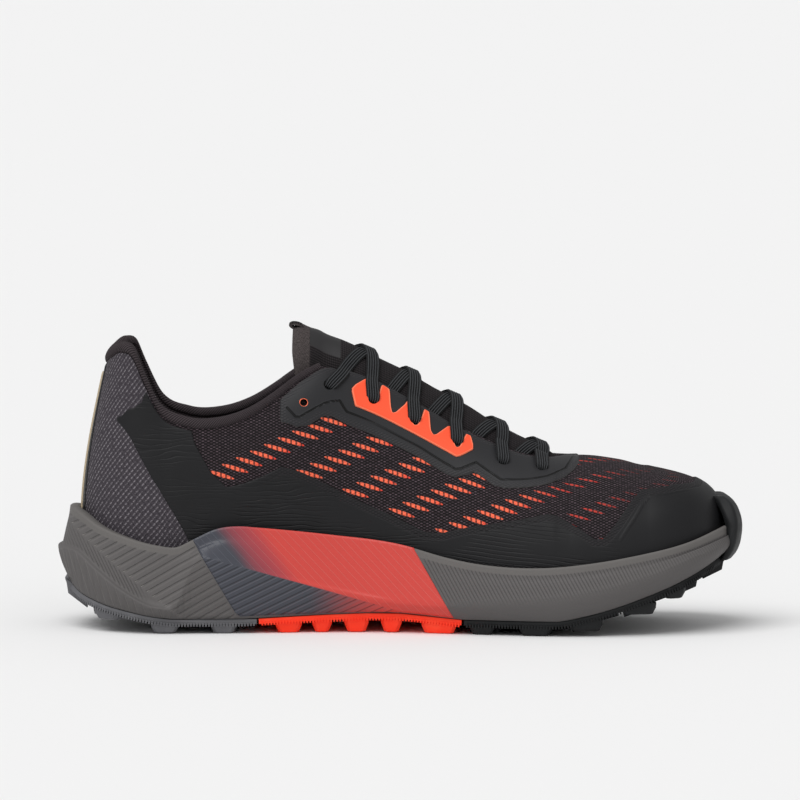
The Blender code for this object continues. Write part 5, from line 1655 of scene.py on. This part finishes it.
def pull_loop(face):
    """A folded ribbon on the tongue's tip."""
    middle = face.shape[1] // 2
    tip, ahead = face[3, middle], face[16, middle]
    along = unit(ahead - tip)
    up = np.array([-along[2], 0, along[0]])
    rings = []
    for angle in np.linspace(0, 2 * math.pi, 41)[:-1]:
        out = np.array([math.cos(angle) * 3.4, math.sin(angle) * 1.6]) * MM
        inner = out * np.array([0.62, 0.3])
        ring = []
        across = [(out, y) for y in (-4.2, -4.5, 4.5, 4.2)] + [(inner, y) for y in (4.2, 4.5, -4.5, -4.2)]
        for (a, b), y in across:
            ring.append(tip - up * 0.5 * MM + along * (a + 0.2 * MM) + up * b + np.array([0, y * MM, 0]))
        rings.append(ring)
    rings = np.array(rings)
    u = np.repeat(np.linspace(-70 * MM, -50 * MM, 40)[:, None], 8, axis=1)
    made = mesh_object("pull_loop", rings, loft_faces(40, 8, True), np.stack([u, rings[..., 1]], axis=-1))
    dress(turn_out(made), ["tongue_loop"], "tongue_knit", TONGUE_CLOTH)


def lace_end(number, side, next_way, over, under):
    """The points of a run's end: through the eyelet and over the throat's edge, or under that edge."""
    way, height = eyelet(number)
    run, t = wall_spot(way, height, side)
    share = UNDER_AHEAD if under else OVER_AHEAD if next_way > way else END_AHEAD
    ahead = np.array([side * (way + (next_way - way) * share)])
    if under:
        low = t_below_edge(ahead, np.array([7 * MM]))
        return [skin_at(ahead, low, -WALL - 1.0 * MM)[0], skin_at(ahead, np.ones(1), -WALL - 0.4 * MM)[0]]
    depth = profiles(run)[1][:, -1] - np.interp(t, SAMPLES, profiles(run)[1][0])
    low = t_below_edge(run, depth + 0.9 * MM)
    above = (2.1 if over else 1.5) * MM
    return [skin_at(run, t, -5.0 * MM)[0], skin_at(run, low, -1.5 * MM)[0], skin_at(run, low, above)[0],
            skin_at(ahead, np.ones(1), above + 0.3 * MM)[0]]


def lace_line(start, end, over):
    """The middle line of a run of lace, from the eyelet nearer the heel over the tongue to the next one's."""
    crossing = start[0] != end[0]
    under = crossing and start[0] > 1
    along = np.linspace(0.02 if under else 0.1, 0.9, 35)
    share = start[1] * (1 - 2 * along)
    ways = [eyelet(n)[0] for n, _ in (start, end)]
    ahead = UNDER_AHEAD if under else OVER_AHEAD if crossing else 0.0
    way = ways[0] + (ways[1] - ways[0]) * (ahead + (1 - ahead) * along)
    way = way + LACE_LEAN * crossing * (1 - 0.6 * ahead) * (1 - share**2)
    inset, arch, reach = (TONGUE_ROWS(name, way) for name in ("inset", "arch", "reach"))
    offset = -(WALL + TONGUE_GAP + inset)
    line = bridge(way, offset, arch, reach, share)
    out = unit(bridge(way, offset + MM, arch, reach, share) - line)
    line[:, 2] += TONGUE_LIFT("lift", way) * MM * (1 - share**2)
    stand = LACE_LIE + (LACE_OVER if over else 0.0) * (1 - share**2) ** 2
    line = line + out * stand[:, None]
    first = lace_end(start[0], start[1], ways[1], over, under)
    last = lace_end(end[0], end[1], ways[0], over, False)
    path = np.concatenate([first, line, last[::-1]])
    arc = run_length(path)
    even = np.linspace(0, arc[-1], 66)
    smooth = np.stack([np.interp(even, arc, path[:, k]) for k in range(3)], axis=1)
    return smoothed(smooth, 5), even


def woven_laces():
    """Eleven runs of flat ribbed lace through the eyelets, in one piece."""
    runs = [((EYELET_COUNT, -1.0), (EYELET_COUNT, 1.0), False)]
    for number in range(1, EYELET_COUNT):
        for side in (-1.0, 1.0):
            runs.append(((number, side), (number + 1, -side), side > 0))
    outline = []
    half, thick = LACE_WIDTH / 2, 0.5 * MM
    for side in (1, -1):
        for x in np.linspace(-1, 1, 41):
            bulge = (1 - abs(x) ** 6) ** 0.5
            ridge = 0.26 * MM * math.cos(2 * math.pi * 2.75 * x)
            outline.append((side * x * half, side * (thick * bulge + ridge * (abs(x) < 0.97))))
    outline = np.array(outline)
    points, faces, places = [], [], []
    for start, end, over in runs:
        line, even = lace_line(start, end, over)
        along = unit(np.gradient(line, axis=0))
        forward = np.array([1.0, 0.0, -0.42])
        flat = unit(forward - (along @ forward)[:, None] * along)
        up = np.cross(flat, along)
        up = up * np.sign(up[len(up) // 2, 2])
        reach = np.minimum(even, even[-1] - even)
        narrow = 0.72 + 0.28 * past(reach, 4.5 * MM, 4 * MM)
        rings = line[:, None] + flat[:, None] * (outline[None, :, :1] * narrow[:, None, None])
        rings = rings + up[:, None] * (outline[None, :, 1:] * (1.25 - 0.25 * narrow)[:, None, None])
        faces += loft_faces(*rings.shape[:2], start=sum(len(p) for p in points))
        points.append(rings.reshape(-1, 3))
        u = np.repeat(even[:, None], rings.shape[1], axis=1)
        places.append(np.stack([u, np.broadcast_to(outline[:, 0], u.shape)], axis=-1).reshape(-1, 2))
    made = mesh_object("woven_laces", np.concatenate(points), faces, np.concatenate(places))
    dress(turn_out(made), ["laces"], "lace", LACE)


def studio():
    """A pale floor, soft light from above and the photograph's camera."""
    scene = bpy.context.scene
    scene.view_settings.view_transform = "Standard"
    bpy.ops.mesh.primitive_plane_add(size=60)
    floor = bpy.context.object
    floor.name = "Floor"
    paint = Paint("pale_floor", "#eeeeee", 0.9, Specular_IOR_Level=0.1)
    floor.data.materials.append(paint.material)
    world = bpy.data.worlds.new("Studio")
    world.use_nodes = True
    world.node_tree.nodes["Background"].inputs["Color"].default_value = (1, 1, 1, 1)
    world.node_tree.nodes["Background"].inputs["Strength"].default_value = WORLD_STRENGTH
    scene.world = world
    for name, strength, spread, turn in SUNS:
        lamp = bpy.data.lights.new(name, "SUN")
        lamp.energy = strength
        lamp.angle = math.radians(spread)
        placed(name, lamp).rotation_euler = [math.radians(a) for a in turn]
    camera = bpy.data.cameras.new("Camera")
    made = placed("Camera", camera)
    tilt = math.radians(CAMERA_TILT)
    height = CAMERA_AIM[1] + CAMERA_DISTANCE * math.sin(tilt)
    made.location = (CAMERA_AIM[0], -CAMERA_DISTANCE * math.cos(tilt), height)
    made.rotation_euler = (math.pi / 2 - tilt, 0, 0)
    camera.lens = camera.sensor_width * CAMERA_DISTANCE / CAMERA_VIEW
    camera.clip_end = 200
    scene.camera = made


KNIT = knit_paint()
OVERLAY = overlay_paint()
EYESTAY_FILM = eyestay_paint()
GUIDE_FILM = guide_paint()
HEEL_MESH = heel_mesh_paint()
CREAM = trim_paint()
FOAM = foam_paint()
SUPPORT_FILM = support_paint()
BLACK_RUBBER = rubber_paint("black_rubber", "#1a1b1c", "#2a2b2d", 0.55)
GREY_RUBBER = rubber_paint("grey_rubber", "#626265", "#727275", 0.6)
ORANGE_RUBBER = rubber_paint("orange_rubber", "#ff3c20", "#ff5a3c", 0.45)
PLATES = (("heel", "grey_rubber", GREY_RUBBER), ("arch", "orange_rubber", ORANGE_RUBBER),
          ("forefoot", "black_rubber", BLACK_RUBBER))
COLLAR_KNIT = collar_paint()
TONGUE_CLOTH = tongue_paint()
LACE = lace_paint()
INSOLE_CLOTH = insole_paint()

studio()
moulded_midsole()
side_support()
treads()
plate_ribs()
bumper()
footbed()
holes = eyelet_holes()
knitted_upper(holes)
overlay()
heel_counter()
heel_spine()
throat_film(holes)
bright_guides(holes)
spare_rings()
bpy.data.objects.remove(holes)
padded_collar()
pull_loop(soft_tongue())
woven_laces()
